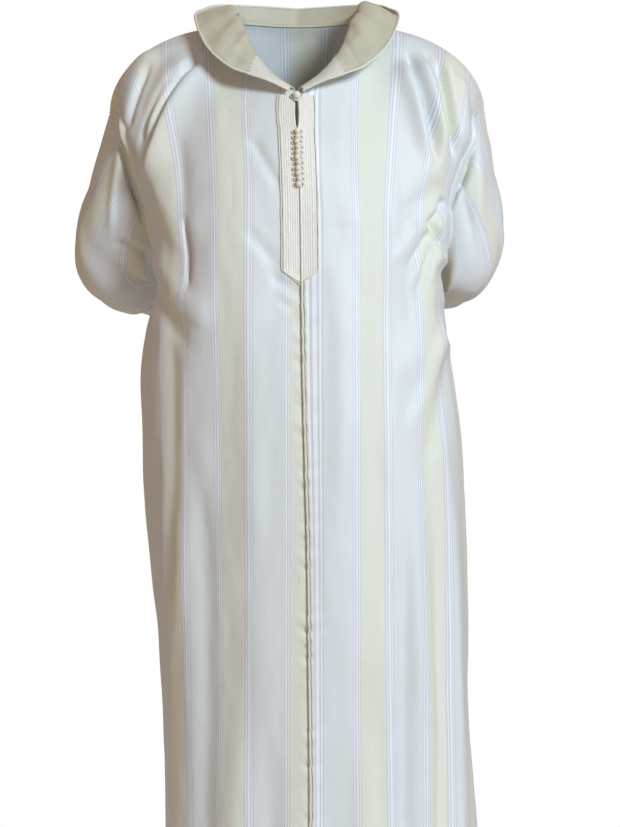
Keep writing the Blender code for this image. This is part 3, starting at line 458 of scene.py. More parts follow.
bodyFolds = {
    "freeShare": 0.93,  # folds fade from here to the side seam
    "lineSteps": 32,
    "fadeShare": 0.24,
    "hemFade": 0.5,
    "fadeTop": 1 / 12,  # share of the rows above the chest over which folds grow
    # start x z, middle x z, end x z, half width, height: troughs are negative, and creases are finer.
    # Tucks are rolls of cloth that drop away steeply on one side. That side's half width is last, and below
    # 0 where the side is the left one.
    "ridges": {
        "front": metres([
            (-150, -50, -194, -115, -222, -270, 21, 10), (-204, -30, -240, -90, -246, -220, 18, 7),
            (140, -60, 186, -135, 206, -280, 21, 10), (200, -40, 226, -100, 226, -240, 18, 7),
            (216, -360, 192, -430, 150, -560, 24, 7), (-195, -440, -170, -900, -155, -1450, 32, 12),
            (150, -560, 172, -900, 180, -1450, 24, 12), (206, -420, 218, -900, 226, -1450, 20, 10),
            (-100, -900, -85, -1150, -80, -1450, 34, 8), (95, -950, 100, -1150, 105, -1450, 30, 6),
        ]),
        "back": metres([
            (-120, -560, -115, -900, -100, -1450, 34, 14), (-30, -480, -22, -900, -8, -1450, 28, 14),
            (66, -520, 78, -900, 90, -1450, 32, 17), (148, -600, 164, -900, 178, -1450, 30, 13),
            (-195, -700, -180, -950, -175, -1450, 24, 13), (-150, -60, -175, -160, -165, -340, 30, 7),
            (150, -60, 172, -160, 160, -340, 30, 7),
        ]),
    },
    "creases": {
        "front": metres([
            (-130, -42, -187, -120, -222, -222, 6, -12.5),
            (-152, -52, -203, -128, -225, -205, 6, -10.5),
            (-144, -50, -196, -126, -224, -212, 5.5, 3.5), (-213, -52, -234, -112, -246, -165, 5, -7.5),
            (-170, -160, -160, -270, -153, -390, 11, -4), (-158, -290, -153, -345, -152, -402, 4, -7),
            (-205, -235, -186, -300, -150, -350, 11, 3.5), (-212, -330, -180, -385, -120, -440, 14, 4),
            (-216, -360, -192, -420, -140, -500, 12, -4), (-68, -175, -42, -222, -20, -262, 8, -3.2),
            (-72, -312, -44, -346, -18, -378, 8, -2.8), (-40, -362, -16, -378, 4, -391, 5, 2),
            (-40, -380, -16, -393, 4, -405, 5, -3.6), (-30, -402, -12, -412, 5, -421, 4.5, 2),
            (-26, -415, -11, -422, 5, -429, 4.2, -2.6), (157, -36, 185.5, -118, 200, -226, 6.2, -16.5),
            (144, -50, 170, -125, 186, -210, 9, 6), (176, -44, 201, -115, 210, -200, 7, 6),
            (203, -40, 218, -125, 226, -212, 5.8, -13.5), (185, -36, 197, -60, 203, -90, 6, -3.5),
            (240, -75, 243, -120, 240, -190, 8, 5), (218, -258, 203, -283, 188, -308, 5.6, -14),
            (191, -296, 201, -318, 210, -350, 5, -12), (192, -306, 178, -336, 157, -376, 5.6, -7.5),
            (204, -322, 196, -352, 180, -392, 8, 5), (194, -322, 184, -366, 169, -415, 5, -6.5),
            (176, -300, 160, -330, 140, -362, 9, 4), (212, -345, 205, -390, 196, -450, 9, -4),
            (205, -230, 185, -262, 150, -290, 14, -4), (222, -430, 196, -510, 155, -620, 12, 5),
            (224, -470, 206, -560, 178, -680, 12, -5), (-180, -420, -176, -640, -182, -900, 12, -5.5),
            (-140, -620, -128, -900, -122, -1300, 14, -5), (-60, -360, -64, -560, -58, -820, 18, 3.5),
            (56, -330, 64, -520, 58, -760, 18, 3), (110, -360, 116, -520, 112, -760, 16, -3.5),
            (193, -720, 200, -950, 203, -1450, 9, -8), (160, -640, 154, -900, 150, -1450, 10, -6.5),
            (126, -800, 130, -1100, 134, -1450, 12, 4.5), (-40, -980, -34, -1180, -30, -1450, 15, -4),
            (-204, -600, -202, -760, -200, -980, 8, -4.5),
        ]),
        "back": metres([
            (-85, -620, -78, -900, -60, -1450, 17, -4), (18, -560, 28, -900, 42, -1450, 17, -4.5),
            (112, -640, 124, -900, 136, -1450, 18, -3), (-150, -700, -146, -950, -138, -1450, 16, -3),
            (-190, -330, -130, -400, -60, -430, 14, 5), (190, -340, 120, -410, 50, -430, 14, 5),
            (-185, -390, -120, -450, -50, -480, 11, -4.5), (185, -400, 110, -460, 50, -490, 11, -4.5),
            (-190, -80, -205, -170, -198, -290, 9, -5), (190, -80, 205, -170, 196, -290, 9, -5),
        ]),
    },
    "tucks": {
        "front": metres([
            (-128, -45, -182, -125, -211, -235, 24, 8.5, -5.5),
            (-150, -46, -194, -112, -219, -190, 10, 6.5, -5),
            (-222, -180, -188, -262, -138, -345, 30, 8, -15),
            (-96, -80, -108, -260, -118, -560, 52, 12.5, -38),
            (196, -256, 210, -315, 206, -376, 16, 12, 20),
            (166, -40, 192, -120, 205, -225, 22, 7.5, -5),
            (210, -45, 225, -125, 232, -205, 16, 5.5, -4.8),
            (226, -405, 228, -440, 226, -475, 18, -9, 20),
            (-196, -400, -160, -430, -110, -450, 24, 4, -10),
            (232, -385, 214, -440, 186, -520, 8, 6, 20), (214, -560, 224, -900, 232, -1450, 6, 6, 18),
        ]),
        "back": metres([
            (-150, -560, -140, -900, -128, -1450, 22, 5, -14),
            (180, -600, 196, -900, 208, -1450, 14, 5, 20),
        ]),
    },
    # slow swells of the hanging cloth: across, down, height; then smaller ones
    "swells": [(0.070, 0.420, 0.0042), (0.034, 0.150, 0.0020), (0.016, 0.046, 0.0006)],
    "swellsApart": 7.3,
    "armholeRoll": {"fromSeam": 0.015, "half": 0.0090, "height": 0.0120, "low": (-0.36, -0.30),
                    "high": (-0.16, -0.12), "seamEase": 0.006},
    "puckers": {"spacing": 0.0125, "height": 0.0060, "reach": {1: 0.019, -1: 0.007}, "slant": 0.55,
                "start": (0.385, 0.44), "seed": 3.1},
}


def noiseAt(points, scales, seed):
    flat = points.reshape(-1, 3) / np.array(scales)
    return np.array([noise.noise(Vector((a, b, c + seed))) for a, b, c in flat]).reshape(points.shape[:-1])


def swellAt(points):
    return sum(height * noiseAt(points, (across, across, down), bodyFolds["swellsApart"] * i)
               for i, (across, down, height) in enumerate(bodyFolds["swells"]))


def foldRise(flat, rows, hemLike=-9.0):
    # the height of all the folds of a table at flat places; those that end below hemLike run out at the hem
    rise = np.zeros(len(flat))
    steps = bodyFolds["lineSteps"]
    share = np.linspace(0, 1, steps)[:, None]
    for row in rows:
        start, middle, end = row[:6].reshape(3, 2)
        halfWidth, height = row[6:8]
        line = (start * (1 - share) * (1 - 2 * share) + middle * 4 * share * (1 - share)
                + end * share * (2 * share - 1))
        low, high = line.min(axis=0) - 3 * halfWidth, line.max(axis=0) + 3 * halfWidth
        near = np.nonzero(np.all((flat > low) & (flat < high), axis=1))[0]
        points = flat[near]
        # finds the nearest point on each run of the line, so the fold has no beads
        first, run = line[:-1], np.diff(line, axis=0)
        t = np.einsum("nki,ki->nk", points[:, None, :] - first[None], run) / np.sum(run * run, axis=1)
        t = np.clip(t, 0, 1)
        offset = points[:, None, :] - first[None] - t[:, :, None] * run[None]
        gap = np.linalg.norm(offset, axis=2)
        pick = gap.argmin(axis=1)
        every = np.arange(len(points))
        here = (pick + t[every, pick]) / (steps - 1)
        if end[1] < hemLike:
            fade = smoothStep(here / bodyFolds["hemFade"])
        else:
            fade = smoothStep(here / bodyFolds["fadeShare"]) * smoothStep((1 - here) / bodyFolds["fadeShare"])
        width = np.full(len(points), halfWidth)
        if len(row) > 8:
            away = offset[every, pick]
            across = run[pick, 0] * away[:, 1] - run[pick, 1] * away[:, 0]
            width[across * row[8] > 0] = abs(row[8])
        rise[near] += height * fade * np.exp(-(gap[every, pick] / width) ** 2)
    return rise


def gridNormals(grid, wraps=False):
    right = np.roll(grid, -1, axis=1) - np.roll(grid, 1, axis=1) if wraps else np.gradient(grid, axis=1)
    return unit(np.cross(np.gradient(grid, axis=0), right))


def borderOf(shape, wraps):
    rows, columns = shape[:2]
    spots = [(i, j) for i in (0, rows - 1) for j in range(columns)]
    if not wraps:
        spots += [(i, j) for i in range(1, rows - 1) for j in (0, columns - 1)]
    return spots


def shareSeams(sheets):
    # pieces that meet at a seam lean the same way there; a sheet is its grid, its normals and whether it wraps
    total = {}
    for grid, normals, wraps in sheets:
        for spot in borderOf(grid.shape, wraps):
            key = tuple(np.round(grid[spot], 5))
            total[key] = total.get(key, 0) + normals[spot]
    for grid, normals, wraps in sheets:
        for spot in borderOf(grid.shape, wraps):
            normals[spot] = unit(total[tuple(np.round(grid[spot], 5))])


def pairTopRow(normals):
    # every second column of a front meets no column of the back
    odd = np.arange(fineness["neckSteps"] + 1, normals.shape[1] - 1, 2)
    normals[0, odd] = unit(normals[0, odd - 1] + normals[0, odd + 1])


def puckerRise(distance, down, side):
    # small uneven gathers along the centre seam, below the placket
    look = bodyFolds["puckers"]
    place = (down + distance * look["slant"]) / look["spacing"]
    wave = [noise.noise(Vector((0.0, look["seed"], value))) for value in place.ravel()]
    wave = np.array(wave).reshape(place.shape)
    wave = look["height"] * wave * between(down, *look["start"])
    return wave * np.exp(-(distance / look["reach"][side]) ** 2)


def foldedPanel(side, face, grid, smooth, place, shares):
    flat = grid[:, :, (0, 2)].reshape(-1, 2)
    kinds = ("ridges", "creases", "tucks")
    rise = sum(foldRise(flat, bodyFolds[kind][face], bodyCut["hemZ"]) for kind in kinds)
    rise = rise.reshape(grid.shape[:2]) * (1 - between(shares, bodyFolds["freeShare"], 1.0))[None, :]
    rise += swellAt(grid)
    if face == "front":
        distance = np.abs(place[:, :, 0] - place[:, :1, 0])
        rise += puckerRise(distance, place[:, :, 1], side)
        roll = bodyFolds["armholeRoll"]
        toArm = (1 - shares) * bodyCut["panelHalf"]
        rolled = roll["height"] * np.exp(-((toArm - roll["fromSeam"]) / roll["half"]) ** 2)
        z = grid[:, :, 2]
        rise += ((rolled * between(toArm, 0.0, roll["seamEase"]))[None, :] * between(z, *roll["low"])
                 * (1 - between(z, *roll["high"])))
    top = np.clip(np.arange(len(grid)) / fineness["upperRows"] / bodyFolds["fadeTop"], 0, 1)
    return grid + smooth * (rise * smoothStep(top)[:, None])[:, :, None]


def outward(normals, side, face):
    return normals if (face == "front") == (side > 0) else -normals


def sleeveLines(at, side):
    row = readTable([(i, *ring) for i, ring in enumerate(sleeveCut["rings"])], 0, at)
    outer = np.array((row[1], row[5], row[2])) if side < 0 else np.array((row[3], row[5], row[4]))
    return outer, row[6:9], row[9]


def sleeveRise(side, at, angles):
    # creases and folds of the sleeve at one ring
    rise = np.zeros(len(angles))
    for ringAt, turnAt, along, around, slant, height in sleeveCut["creases"][side]:
        turn = (angles - math.radians(turnAt) + math.pi) % (2 * math.pi) - math.pi
        away = (at - ringAt - slant * turn) / along
        rise += height / 1000 * np.exp(-away ** 2 - (turn / math.radians(around)) ** 2)
    turn = (angles + math.pi / 3) % (2 * math.pi) - math.pi / 3
    down = np.full(len(angles), at * sleeveCut["ringLength"])
    flat = np.column_stack((down, turn * sleeveCut["turnLength"]))
    return (rise * sleeveCut["creaseShare"] * between(at, 0.0, sleeveCut["creasesGrow"])
            + foldRise(flat, sleeveCut["folds"][side]) * between(at, 0.0, sleeveCut["foldsGrow"]))


def downRows(grid, columns):
    # distance from the first row, the same all along each row
    steps = np.linalg.norm(np.diff(grid, axis=0), axis=2).mean(axis=1)
    return np.repeat(np.concatenate(((0,), np.cumsum(steps)))[:, None], columns, axis=1)


def sleeveGrid(side, armhole):
    last = len(sleeveCut["rings"]) - 1
    angles = np.arange(len(armhole)) / len(armhole) * 2 * math.pi
    count = fineness["sleeveRings"]
    rings, plain, ats = [], [], np.linspace(0, last, count + 1)
    for at in ats:
        outer, inner, breadth = sleeveLines(at, side)
        before = sum(sleeveLines(max(at - sleeveCut["aimReach"], 0), side)[:2]) / 2
        after = sum(sleeveLines(min(at + sleeveCut["aimReach"], last), side)[:2]) / 2
        middle, reach = (outer + inner) / 2, (outer - inner) / 2
        square = smoothStep(at / sleeveCut["squareRows"])
        across = unit(np.cross(unit(after - before), reach)) * square
        across = across + np.array((0.0, -1.0, 0.0)) * (1 - square)
        ring = middle + np.outer(np.cos(angles), reach) + np.outer(np.sin(angles), unit(across) * breadth)
        if at == 0:
            shift = armhole * (side, 1.0, 1.0) - ring
        ring = ring + shift * (1 - smoothStep(at / sleeveCut["armholeRows"]))
        plain.append(ring)
        grown = between(at, *sleeveCut["crookStart"]) * (1 - between(at, *sleeveCut["crookEnd"]))
        wave = math.sin(2 * math.pi * sleeveCut["crookFolds"] * at / last)
        crease = wave * sleeveCut["crookDepth"][side] * grown
        atCrook = np.clip(-np.cos(angles - sleeveCut["crookTurn"]), 0, 1) ** sleeveCut["crookSharp"]
        ring = ring + unit(middle - ring) * (atCrook * crease - sleeveRise(side, at, angles))[:, None]
        rings.append(ring * (side, 1.0, 1.0))
    grid = np.array(rings)
    out = unit(grid - grid.mean(axis=1, keepdims=True))
    grown = between(ats, 0.0, sleeveCut["swellsGrow"])[:, None, None]
    grid = grid + out * swellAt(grid)[:, :, None] * grown
    # the weave is laid out on the sleeve before it is folded, and evened from ring to ring
    plain = np.array(plain)
    around = np.cumsum(np.linalg.norm(np.roll(plain, -1, axis=1) - plain, axis=2), axis=1)
    around = np.hstack((np.zeros((count + 1, 1)), around))
    reach = sleeveCut["evenRings"]
    padded = np.pad(around, ((reach, reach), (0, 0)), mode="edge")
    around = sum(padded[i:i + count + 1] for i in range(2 * reach + 1)) / (2 * reach + 1)
    return grid, np.dstack((around * side, downRows(grid, around.shape[1])))


# creases of the hood: place along the neck seam, from and to share of the depth, half width along, height
hoodCreases = {
    -1: [(0.36, 0.1, 0.9, 0.020, -0.0022), (0.47, 0.0, 0.9, 0.022, 0.0030), (0.55, 0.1, 0.95, 0.018, -0.0034),
         (0.64, 0.0, 0.8, 0.020, 0.0040), (0.74, 0.2, 1.0, 0.018, -0.0036), (0.84, 0.1, 0.9, 0.022, 0.0030),
         (0.93, 0.2, 0.9, 0.020, -0.0034)],
    1: [(0.33, 0.1, 0.9, 0.016, 0.0020), (0.42, 0.0, 0.75, 0.018, -0.0034), (0.485, 0.0, 0.85, 0.014, 0.0052),
        (0.535, 0.1, 0.95, 0.014, -0.0044), (0.60, 0.0, 0.8, 0.018, 0.0040), (0.70, 0.2, 1.0, 0.020, -0.0036),
        (0.81, 0.1, 0.9, 0.022, 0.0034), (0.91, 0.2, 0.9, 0.020, -0.0034)],
}
hoodHang = {
    "middle": (0.16, 0.40),  # lies on the back out to the first share of its half width, free past the second
    "clearance": 0.0045,
    "clearOver": 0.08,  # share of the depth over which it comes clear of the back
    "swell": 1.4,
    "swellOver": (0.15, 0.9),  # swells grow up to the first share of the depth and fade from the second
    "creaseFade": (0.3, 0.1),  # at both ends of a crease, and past its far end
    "creaseLean": 0.05,
    "creaseFront": (0.25, 0.29),  # creases grow between these places along the neck seam
    "creaseBack": 0.95,  # and fade from here
}


def collarGrid(side, first, last, columns, rows):
    shares = np.linspace(0, 1, rows + 1)
    up = np.array((0.0, 0.0, 1.0))
    grid = []
    for along in np.linspace(max(first, neckCut["pointStart"]), last, columns + 1):
        row = readTable(neckCut["stations"], 0, along)
        seam = np.array((side * row[1], row[2], row[3]))
        rim = np.array((side * row[4], row[5], row[6]))
        inward = -unit(seam * (1.0, 1.0, 0.0))
        seam = seam + inward * neckCut["lift"][0] + up * neckCut["lift"][1]
        pulls = (seam, seam + inward * row[7] + up * row[8],
                 (seam + rim) / 2 + inward * row[9] + up * row[10], rim + inward * row[11] + up * row[12], rim)
        grid.append(handleCurve(pulls, shares))
    return np.array(grid).transpose(1, 0, 2)


def hoodGrid():
    count = fineness["hoodSteps"]
    alongs = np.linspace(neckCut["facingEnd"], 1.0, count + 1)
    shares = np.linspace(0, 1, fineness["hoodRows"] + 1)[:, None]
    (ends, past), (grown, fading) = hoodHang["creaseFade"], hoodHang["swellOver"]
    halves = {}
    for side in (-1, 1):
        grid = collarGrid(side, neckCut["facingEnd"], 1.0, count, fineness["hoodRows"])
        rise = np.zeros(grid.shape[:2])
        for at, low, high, width, height in hoodCreases[side]:
            fade = between(shares, low, low + ends) * (1 - between(shares, high - ends, high + past))
            lean = at + (shares - 0.5) * hoodHang["creaseLean"]
            rise += height * fade * np.exp(-((alongs[None, :] - lean) / width) ** 2)
        rise *= (1 - between(alongs, hoodHang["creaseBack"], 1.0))[None, :]
        rise *= between(alongs, *hoodHang["creaseFront"])[None, :]
        halves[side] = grid - side * gridNormals(grid) * rise[:, :, None]
    grid = np.hstack((halves[-1][:, :-1], halves[1][:, ::-1]))
    loose = between(shares, 0.0, grown) * (1 - between(shares, fading, 1.0))
    return grid + gridNormals(grid) * (hoodHang["swell"] * swellAt(grid) * loose)[:, :, None]


def keepBehind(grid, behindOf):
    # where the hood hangs down it lies on the outside of the back
    spots = behindOf.reshape(-1, 3)
    tree = kdtree.KDTree(len(spots))
    for i, spot in enumerate(spots):
        tree.insert((spot[0], 0.0, spot[2]), i)
    tree.balance()
    near = 1 - between(np.abs(np.linspace(-1, 1, grid.shape[1])), *hoodHang["middle"])
    need = np.array([[spots[tree.find((p[0], 0.0, p[2]))[1], 1] for p in row] for row in grid])
    down = np.linspace(0, 1, len(grid))[:, None]
    need += hoodHang["clearance"] * between(down, 0.0, hoodHang["clearOver"])
    moved = grid.copy()
    moved[:, :, 1] += np.maximum(need - grid[:, :, 1], 0) * near[None, :]
    return moved


def measuredCloth(grid):
    # place of each point on the cloth: across from the middle column, down from the first row
    across = np.cumsum(np.linalg.norm(np.diff(grid, axis=1), axis=2), axis=1)
    across = np.hstack((np.zeros((len(grid), 1)), across))
    across -= across[:, across.shape[1] // 2][:, None]
    return np.dstack((across, downRows(grid, across.shape[1])))


def newPiece(name, mesh, materials, nodes):
    for made in materials:
        mesh.materials.append(made)
    piece = newObject(name, mesh)
    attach(piece, "root")
    if nodes:
        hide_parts(*nodes)
    return piece


def meshFrom(name, points, faces, faceMaterial=None, faceCut=None):
    mesh = bpy.data.meshes.new(name)
    mesh.from_pydata(np.asarray(points).tolist(), [], faces)
    if faceMaterial is not None:
        mesh.polygons.foreach_set("material_index", faceMaterial)
        layer = mesh.uv_layers.new(name="cut")
        layer.data.foreach_set("uv", np.asarray(faceCut, dtype=np.float32).ravel())
    mesh.shade_smooth()
    mesh.set_sharp_from_angle(angle=math.radians(cloth["sharpAngle"]))
    return mesh


def edgeStep(edge, inner, out, wraps):
    ahead = np.roll(edge, -1, axis=0) - np.roll(edge, 1, axis=0) if wraps else np.gradient(edge, axis=0)
    step = unit(np.cross(out, ahead))
    return step * np.sign(np.sum(step * (inner - edge), axis=1))[:, None] * cloth["seamHalf"]


def seamReady(grid, out, wraps, dips):
    # steps back from each seam by half its gap, and dips where it is sewn; dips names those edges
    moved = grid.copy()
    edges = {"top": np.s_[0, 1], "bottom": np.s_[-1, -2]}
    if not wraps:
        edges.update(first=(np.s_[:, 0], np.s_[:, 1]), last=(np.s_[:, -1], np.s_[:, -2]))
    for name, (edge, inner) in edges.items():
        moved[edge] += edgeStep(grid[edge], grid[inner], out[edge], wraps)
        if name in dips:
            moved[edge] -= out[edge] * cloth["seamDip"]
    return moved


def slabFaces(rows, columns):
    # four corners of every quad: outside, inside and rim, numbered row by row, the inside after the outside.
    # A sheet that wraps is one column wider here and has no rim along its first and last column.
    at = np.arange(rows * columns).reshape(rows, columns)
    a, b, c, d = at[:-1, :-1].ravel(), at[1:, :-1].ravel(), at[1:, 1:].ravel(), at[:-1, 1:].ravel()
    sides = [np.column_stack((a, b, c, d)), np.column_stack((a, d, c, b)) + at.size]
    edges = ((at[0, :-1], at[0, 1:]), (at[-1, 1:], at[-1, :-1]),
             (at[1:, 0], at[:-1, 0]), (at[:-1, -1], at[1:, -1]))
    rims = [np.column_stack((near, far, far + at.size, near + at.size)) for near, far in edges]
    return np.vstack(sides), rims


def clothPiece(name, sheet, nodes, materials, dips=(),
               thick=None, wraps=False):
    grid, out, place = sheet
    rows, columns = grid.shape[:2]
    wall = cloth["wall"] if thick is None else thick[:, None, None]
    body = seamReady(grid, out, wraps, dips)
    points = np.vstack(((body + out * wall / 2).reshape(-1, 3), (body - out * wall / 2).reshape(-1, 3)))
    wide = place.shape[1]
    sides, rims = slabFaces(rows, wide)
    corners = np.vstack([sides] + rims[:2 if wraps else 4])
    layer, spot = np.divmod(corners, rows * wide)
    row, column = np.divmod(spot, wide)
    faceCut = place[row, column]
    if wraps:
        # the weave meets itself at the underarm seam
        late = np.arange(len(faceCut)) < len(sides)
        late &= column.min(axis=1) >= columns // 2
        faceCut[late, :, 0] -= place[row[late], -1, 0]
    faces = (layer * rows + row) * columns + column % columns
    i, j = rows // 2, columns // 2
    if out[i, j] @ np.cross(grid[i + 1, j] - grid[i, j], grid[i, j + 1] - grid[i, j]) < 0:
        faces, faceCut = faces[:, ::-1], faceCut[:, ::-1]
    within = np.zeros(len(faces), dtype=np.int32)
    within[len(sides) // 2:len(sides)] = len(materials) - 1
    piece = newPiece(name, meshFrom(name, points, faces.tolist(), within, faceCut), materials, nodes)
    flat = (float(np.ptp(place[:, :, 0])), float(np.ptp(place[:, :, 1])))
    crossed = np.cross(grid[1:, 1:] - grid[:-1, :-1], grid[:-1, 1:] - grid[1:, :-1])
    area = np.linalg.norm(crossed, axis=2).sum() / 2
    if wraps:
        area += (np.linalg.norm(grid[1:, -1] - grid[:-1, -1], axis=1)
                 * np.linalg.norm(grid[1:, 0] - grid[1:, -1], axis=1)).sum()
    area = float(np.clip(area, cloth["leastArea"] * flat[0] * flat[1], flat[0] * flat[1]))
    print(name, "flat size", [round(value, 3) for value in flat], "area", round(area, 4))


stripes = {
    "repeat": 0.100,  # metres of cloth from stripe to stripe
    "offset": 0.1085,
    # the rest are shares of the repeat
    "jacquardEnd": 0.35,
    "satinStart": 0.483,
    "satinEnd": 0.883,
    "cordLines": [(0.368, 0.384), (0.404, 0.434), (0.450, 0.466),
                  (0.897, 0.912), (0.932, 0.956), (0.971, 0.986)],
}
satinLook = {
    "face": {"satin": "#E3E8EA", "jacquard": "#E7E9DB", "cord": "#F3F6FA", "gap": "#D5DAE2",
             "rough": (0.47, 0.58)},
    "reverse": {"satin": "#D4D8DB", "jacquard": "#D6D8C8", "cord": "#E2E4E8", "gap": "#C6C9D0",
                "rough": (0.55, 0.62)},
    "dust": "#B9AA92",
    "dusty": (1.33, 1.47, 0.0, 0.22),  # from and to down the cloth, and how much there
}
weave = {
    "spotsApart": 0.0032,  # little woven spots, on a grid turned by 45 degrees
    "spotSize": 0.30,
    "twill": 0.0011,  # satin threads are 0.15 mm apart: drawn 1.1 mm apart so that they show
    "rib": 0.0012,  # lining threads are 0.15 mm apart too: drawn 1.2 mm apart so that they show
    "slant": 0.6,  # of the twill, down to across
    "cloudTone": (0.3, 0.7, 0.955, 1.0),  # from and to in the noise, and in the tone of the cloth
    "slubTone": (0.3, 0.7, 0.975, 1.01),
    "spotTone": 0.5,  # share of the cord's colour in a spot
    "unevenRough": 0.12,
    "unevenLining": 0.14,
    "rises": (0.25, 0.22, 0.045, 0.9),  # of cords, spots, twill and crinkles, as shares of the relief
    "liningRises": (0.05, 0.9),  # of rib and crinkles
    "relief": 0.0010,
    "finish": {"IOR": 1.5, "Sheen Weight": 0.12, "Sheen Roughness": 0.35},
}
floss = {
    "streaks": 1600.0,  # filaments are 0.05 mm thick: drawn as 0.6 mm streaks so that they show
    "relief": 0.0004,
    "finish": {"IOR": 1.54, "Sheen Weight": 0.2, "Sheen Roughness": 0.3},
}


def stripedSatin(name, look):
    # viscose satin woven in stripes: long floats give a soft glow, the jacquard bands stay duller
    made, tree, shader = newMaterial(name, weave["finish"])
    node = partial(addNode, tree)
    cut = node("UVMap", uv_map="cut")
    parts = node("SeparateXYZ", cut)
    across, down = parts.outputs["X"], parts.outputs["Y"]
    place = node("Math", across, stripes["offset"], operation="ADD")
    place = node("Math", node("Math", place, stripes["repeat"], operation="DIVIDE"), operation="FRACT")
    bands = [(0.0, look["jacquard"]), (stripes["jacquardEnd"], look["gap"]),
             (stripes["satinStart"], look["satin"]), (stripes["satinEnd"], look["gap"])]
    raised = [(0.0, "#000000")]
    for low, high in stripes["cordLines"]:
        bands += [(low, look["cord"]), (high, look["gap"])]
        raised += [(low, "#FFFFFF"), (high, "#000000")]
    ramps = []
    for stops in (sorted(bands), raised):
        ramp = node("ValToRGB", place)
        ramp.color_ramp.interpolation = "CONSTANT"
        marks = ramp.color_ramp.elements
        marks.remove(marks[1])
        marks[0].color = toLinear(stops[0][1])
        for at, hexColour in stops[1:]:
            marks.new(at).color = toLinear(hexColour)
        ramps.append(ramp)
    colours, cords = ramps
    jacquard = node("Math", place, stripes["jacquardEnd"], operation="LESS_THAN")
    turned = node("Mapping", cut, Rotation=(0, 0, math.radians(45)))
    spots = node("TexVoronoi", turned, Scale=1 / weave["spotsApart"], Randomness=0.0)
    spot = node("Math", spots, weave["spotSize"], operation="LESS_THAN")
    spot = node("Math", spot, jacquard, operation="MULTIPLY")
    slant = node("Math", down, weave["slant"], across, operation="MULTIPLY_ADD")
    twill = node("Math", slant, 2 * math.pi / weave["twill"], operation="MULTIPLY")
    twill = node("Math", twill, operation="SINE")
    solid = node("TexCoord").outputs["Object"]
    cloudy = node("TexNoise", solid, Scale=5.0, Detail=3.0, Roughness=0.6)
    crinkle = node("TexNoise", solid, Scale=46.0, Detail=4.0, Roughness=0.62)
    slub = node("TexNoise", node("Mapping", cut, Scale=(900.0, 26.0, 1.0)), Scale=1.0, Detail=2.0)
    tones = [node("MapRange", cloudy, *weave["cloudTone"]), node("MapRange", slub, *weave["slubTone"])]
    tone = node("Math", *tones, operation="MULTIPLY")
    shown = node("Math", spot, weave["spotTone"], operation="MULTIPLY")
    colour = node("Mix", shown, colours, toLinear(look["cord"]), data_type="RGBA")
    colour = node("Mix", 1.0, colour, tone, data_type="RGBA", blend_type="MULTIPLY")
    # the lowest hand's breadth has picked up a little dust
    dusty = node("Math", node("MapRange", down, *satinLook["dusty"]), crinkle, operation="MULTIPLY")
    colour = node("Mix", dusty, colour, toLinear(satinLook["dust"]), data_type="RGBA")
    feed(tree, shader.inputs["Base Color"], colour)
    dull, uneven = look["rough"][1] - look["rough"][0], weave["unevenRough"]
    rough = node("Math", jacquard, dull, look["rough"][0] - uneven / 2, operation="MULTIPLY_ADD")
    feed(tree, shader.inputs["Roughness"], node("Math", cloudy, uneven, rough, operation="MULTIPLY_ADD"))
    height = 0.0
    for part, share in zip((cords, spot, twill, crinkle), weave["rises"]):
        height = node("Math", part, share, height, operation="MULTIPLY_ADD")
    feed(tree, shader.inputs["Normal"], node("Bump", Height=height, Strength=0.6, Distance=weave["relief"]))
    return made


def plainSatin(name, hexColour, warmHex, rough):
    # lining satin in one colour: smooth, with a faint crossways rib and soft crumples
    made, tree, shader = newMaterial(name, weave["finish"])
    node = partial(addNode, tree)
    across = node("SeparateXYZ", node("UVMap", uv_map="cut"))
    solid = node("TexCoord").outputs["Object"]
    cloudy = node("TexNoise", solid, Scale=9.0, Detail=3.0, Roughness=0.6)
    crinkle = node("TexNoise", solid, Scale=60.0, Detail=4.0, Roughness=0.62)
    rib = node("Math", across, 2 * math.pi / weave["rib"], operation="MULTIPLY")
    rib = node("Math", rib, operation="SINE")
    colour = node("Mix", cloudy, toLinear(hexColour), toLinear(warmHex), data_type="RGBA")
    feed(tree, shader.inputs["Base Color"], colour)
    uneven = weave["unevenLining"]
    feed(tree, shader.inputs["Roughness"],
         node("Math", cloudy, uneven, rough - uneven / 2, operation="MULTIPLY_ADD"))
    ribRise, crinkleRise = weave["liningRises"]
    height = node("Math", rib, ribRise, operation="MULTIPLY")
    height = node("Math", crinkle, crinkleRise, height, operation="MULTIPLY_ADD")
    feed(tree, shader.inputs["Normal"], node("Bump", Height=height, Strength=0.6, Distance=weave["relief"]))
    return made


def silkCord(name, hexColour, shadeHex, rough):
    # floss of artificial silk, twisted or plaited by hand: fine bright filaments, a little uneven
    made, tree, shader = newMaterial(name, floss["finish"] | {"Roughness": rough})
    node = partial(addNode, tree)
    solid = node("TexCoord").outputs["Object"]
    uneven = node("TexNoise", solid, Scale=140.0, Detail=3.0, Roughness=0.6)
    drawn = node("Mapping", solid, Rotation=(0, math.radians(35), 0), Scale=(1.0, 1.0, 0.25))
    streak = node("TexNoise", drawn, Scale=floss["streaks"], Detail=2.0, Roughness=0.7)
    share = node("Math", node("Math", uneven, streak, operation="ADD"), 0.5, operation="MULTIPLY")
    colour = node("Mix", share, toLinear(hexColour), toLinear(shadeHex), data_type="RGBA")
    feed(tree, shader.inputs["Base Color"], colour)
    feed(tree, shader.inputs["Normal"], node("Bump", Height=streak, Strength=0.5, Distance=floss["relief"]))
    return made


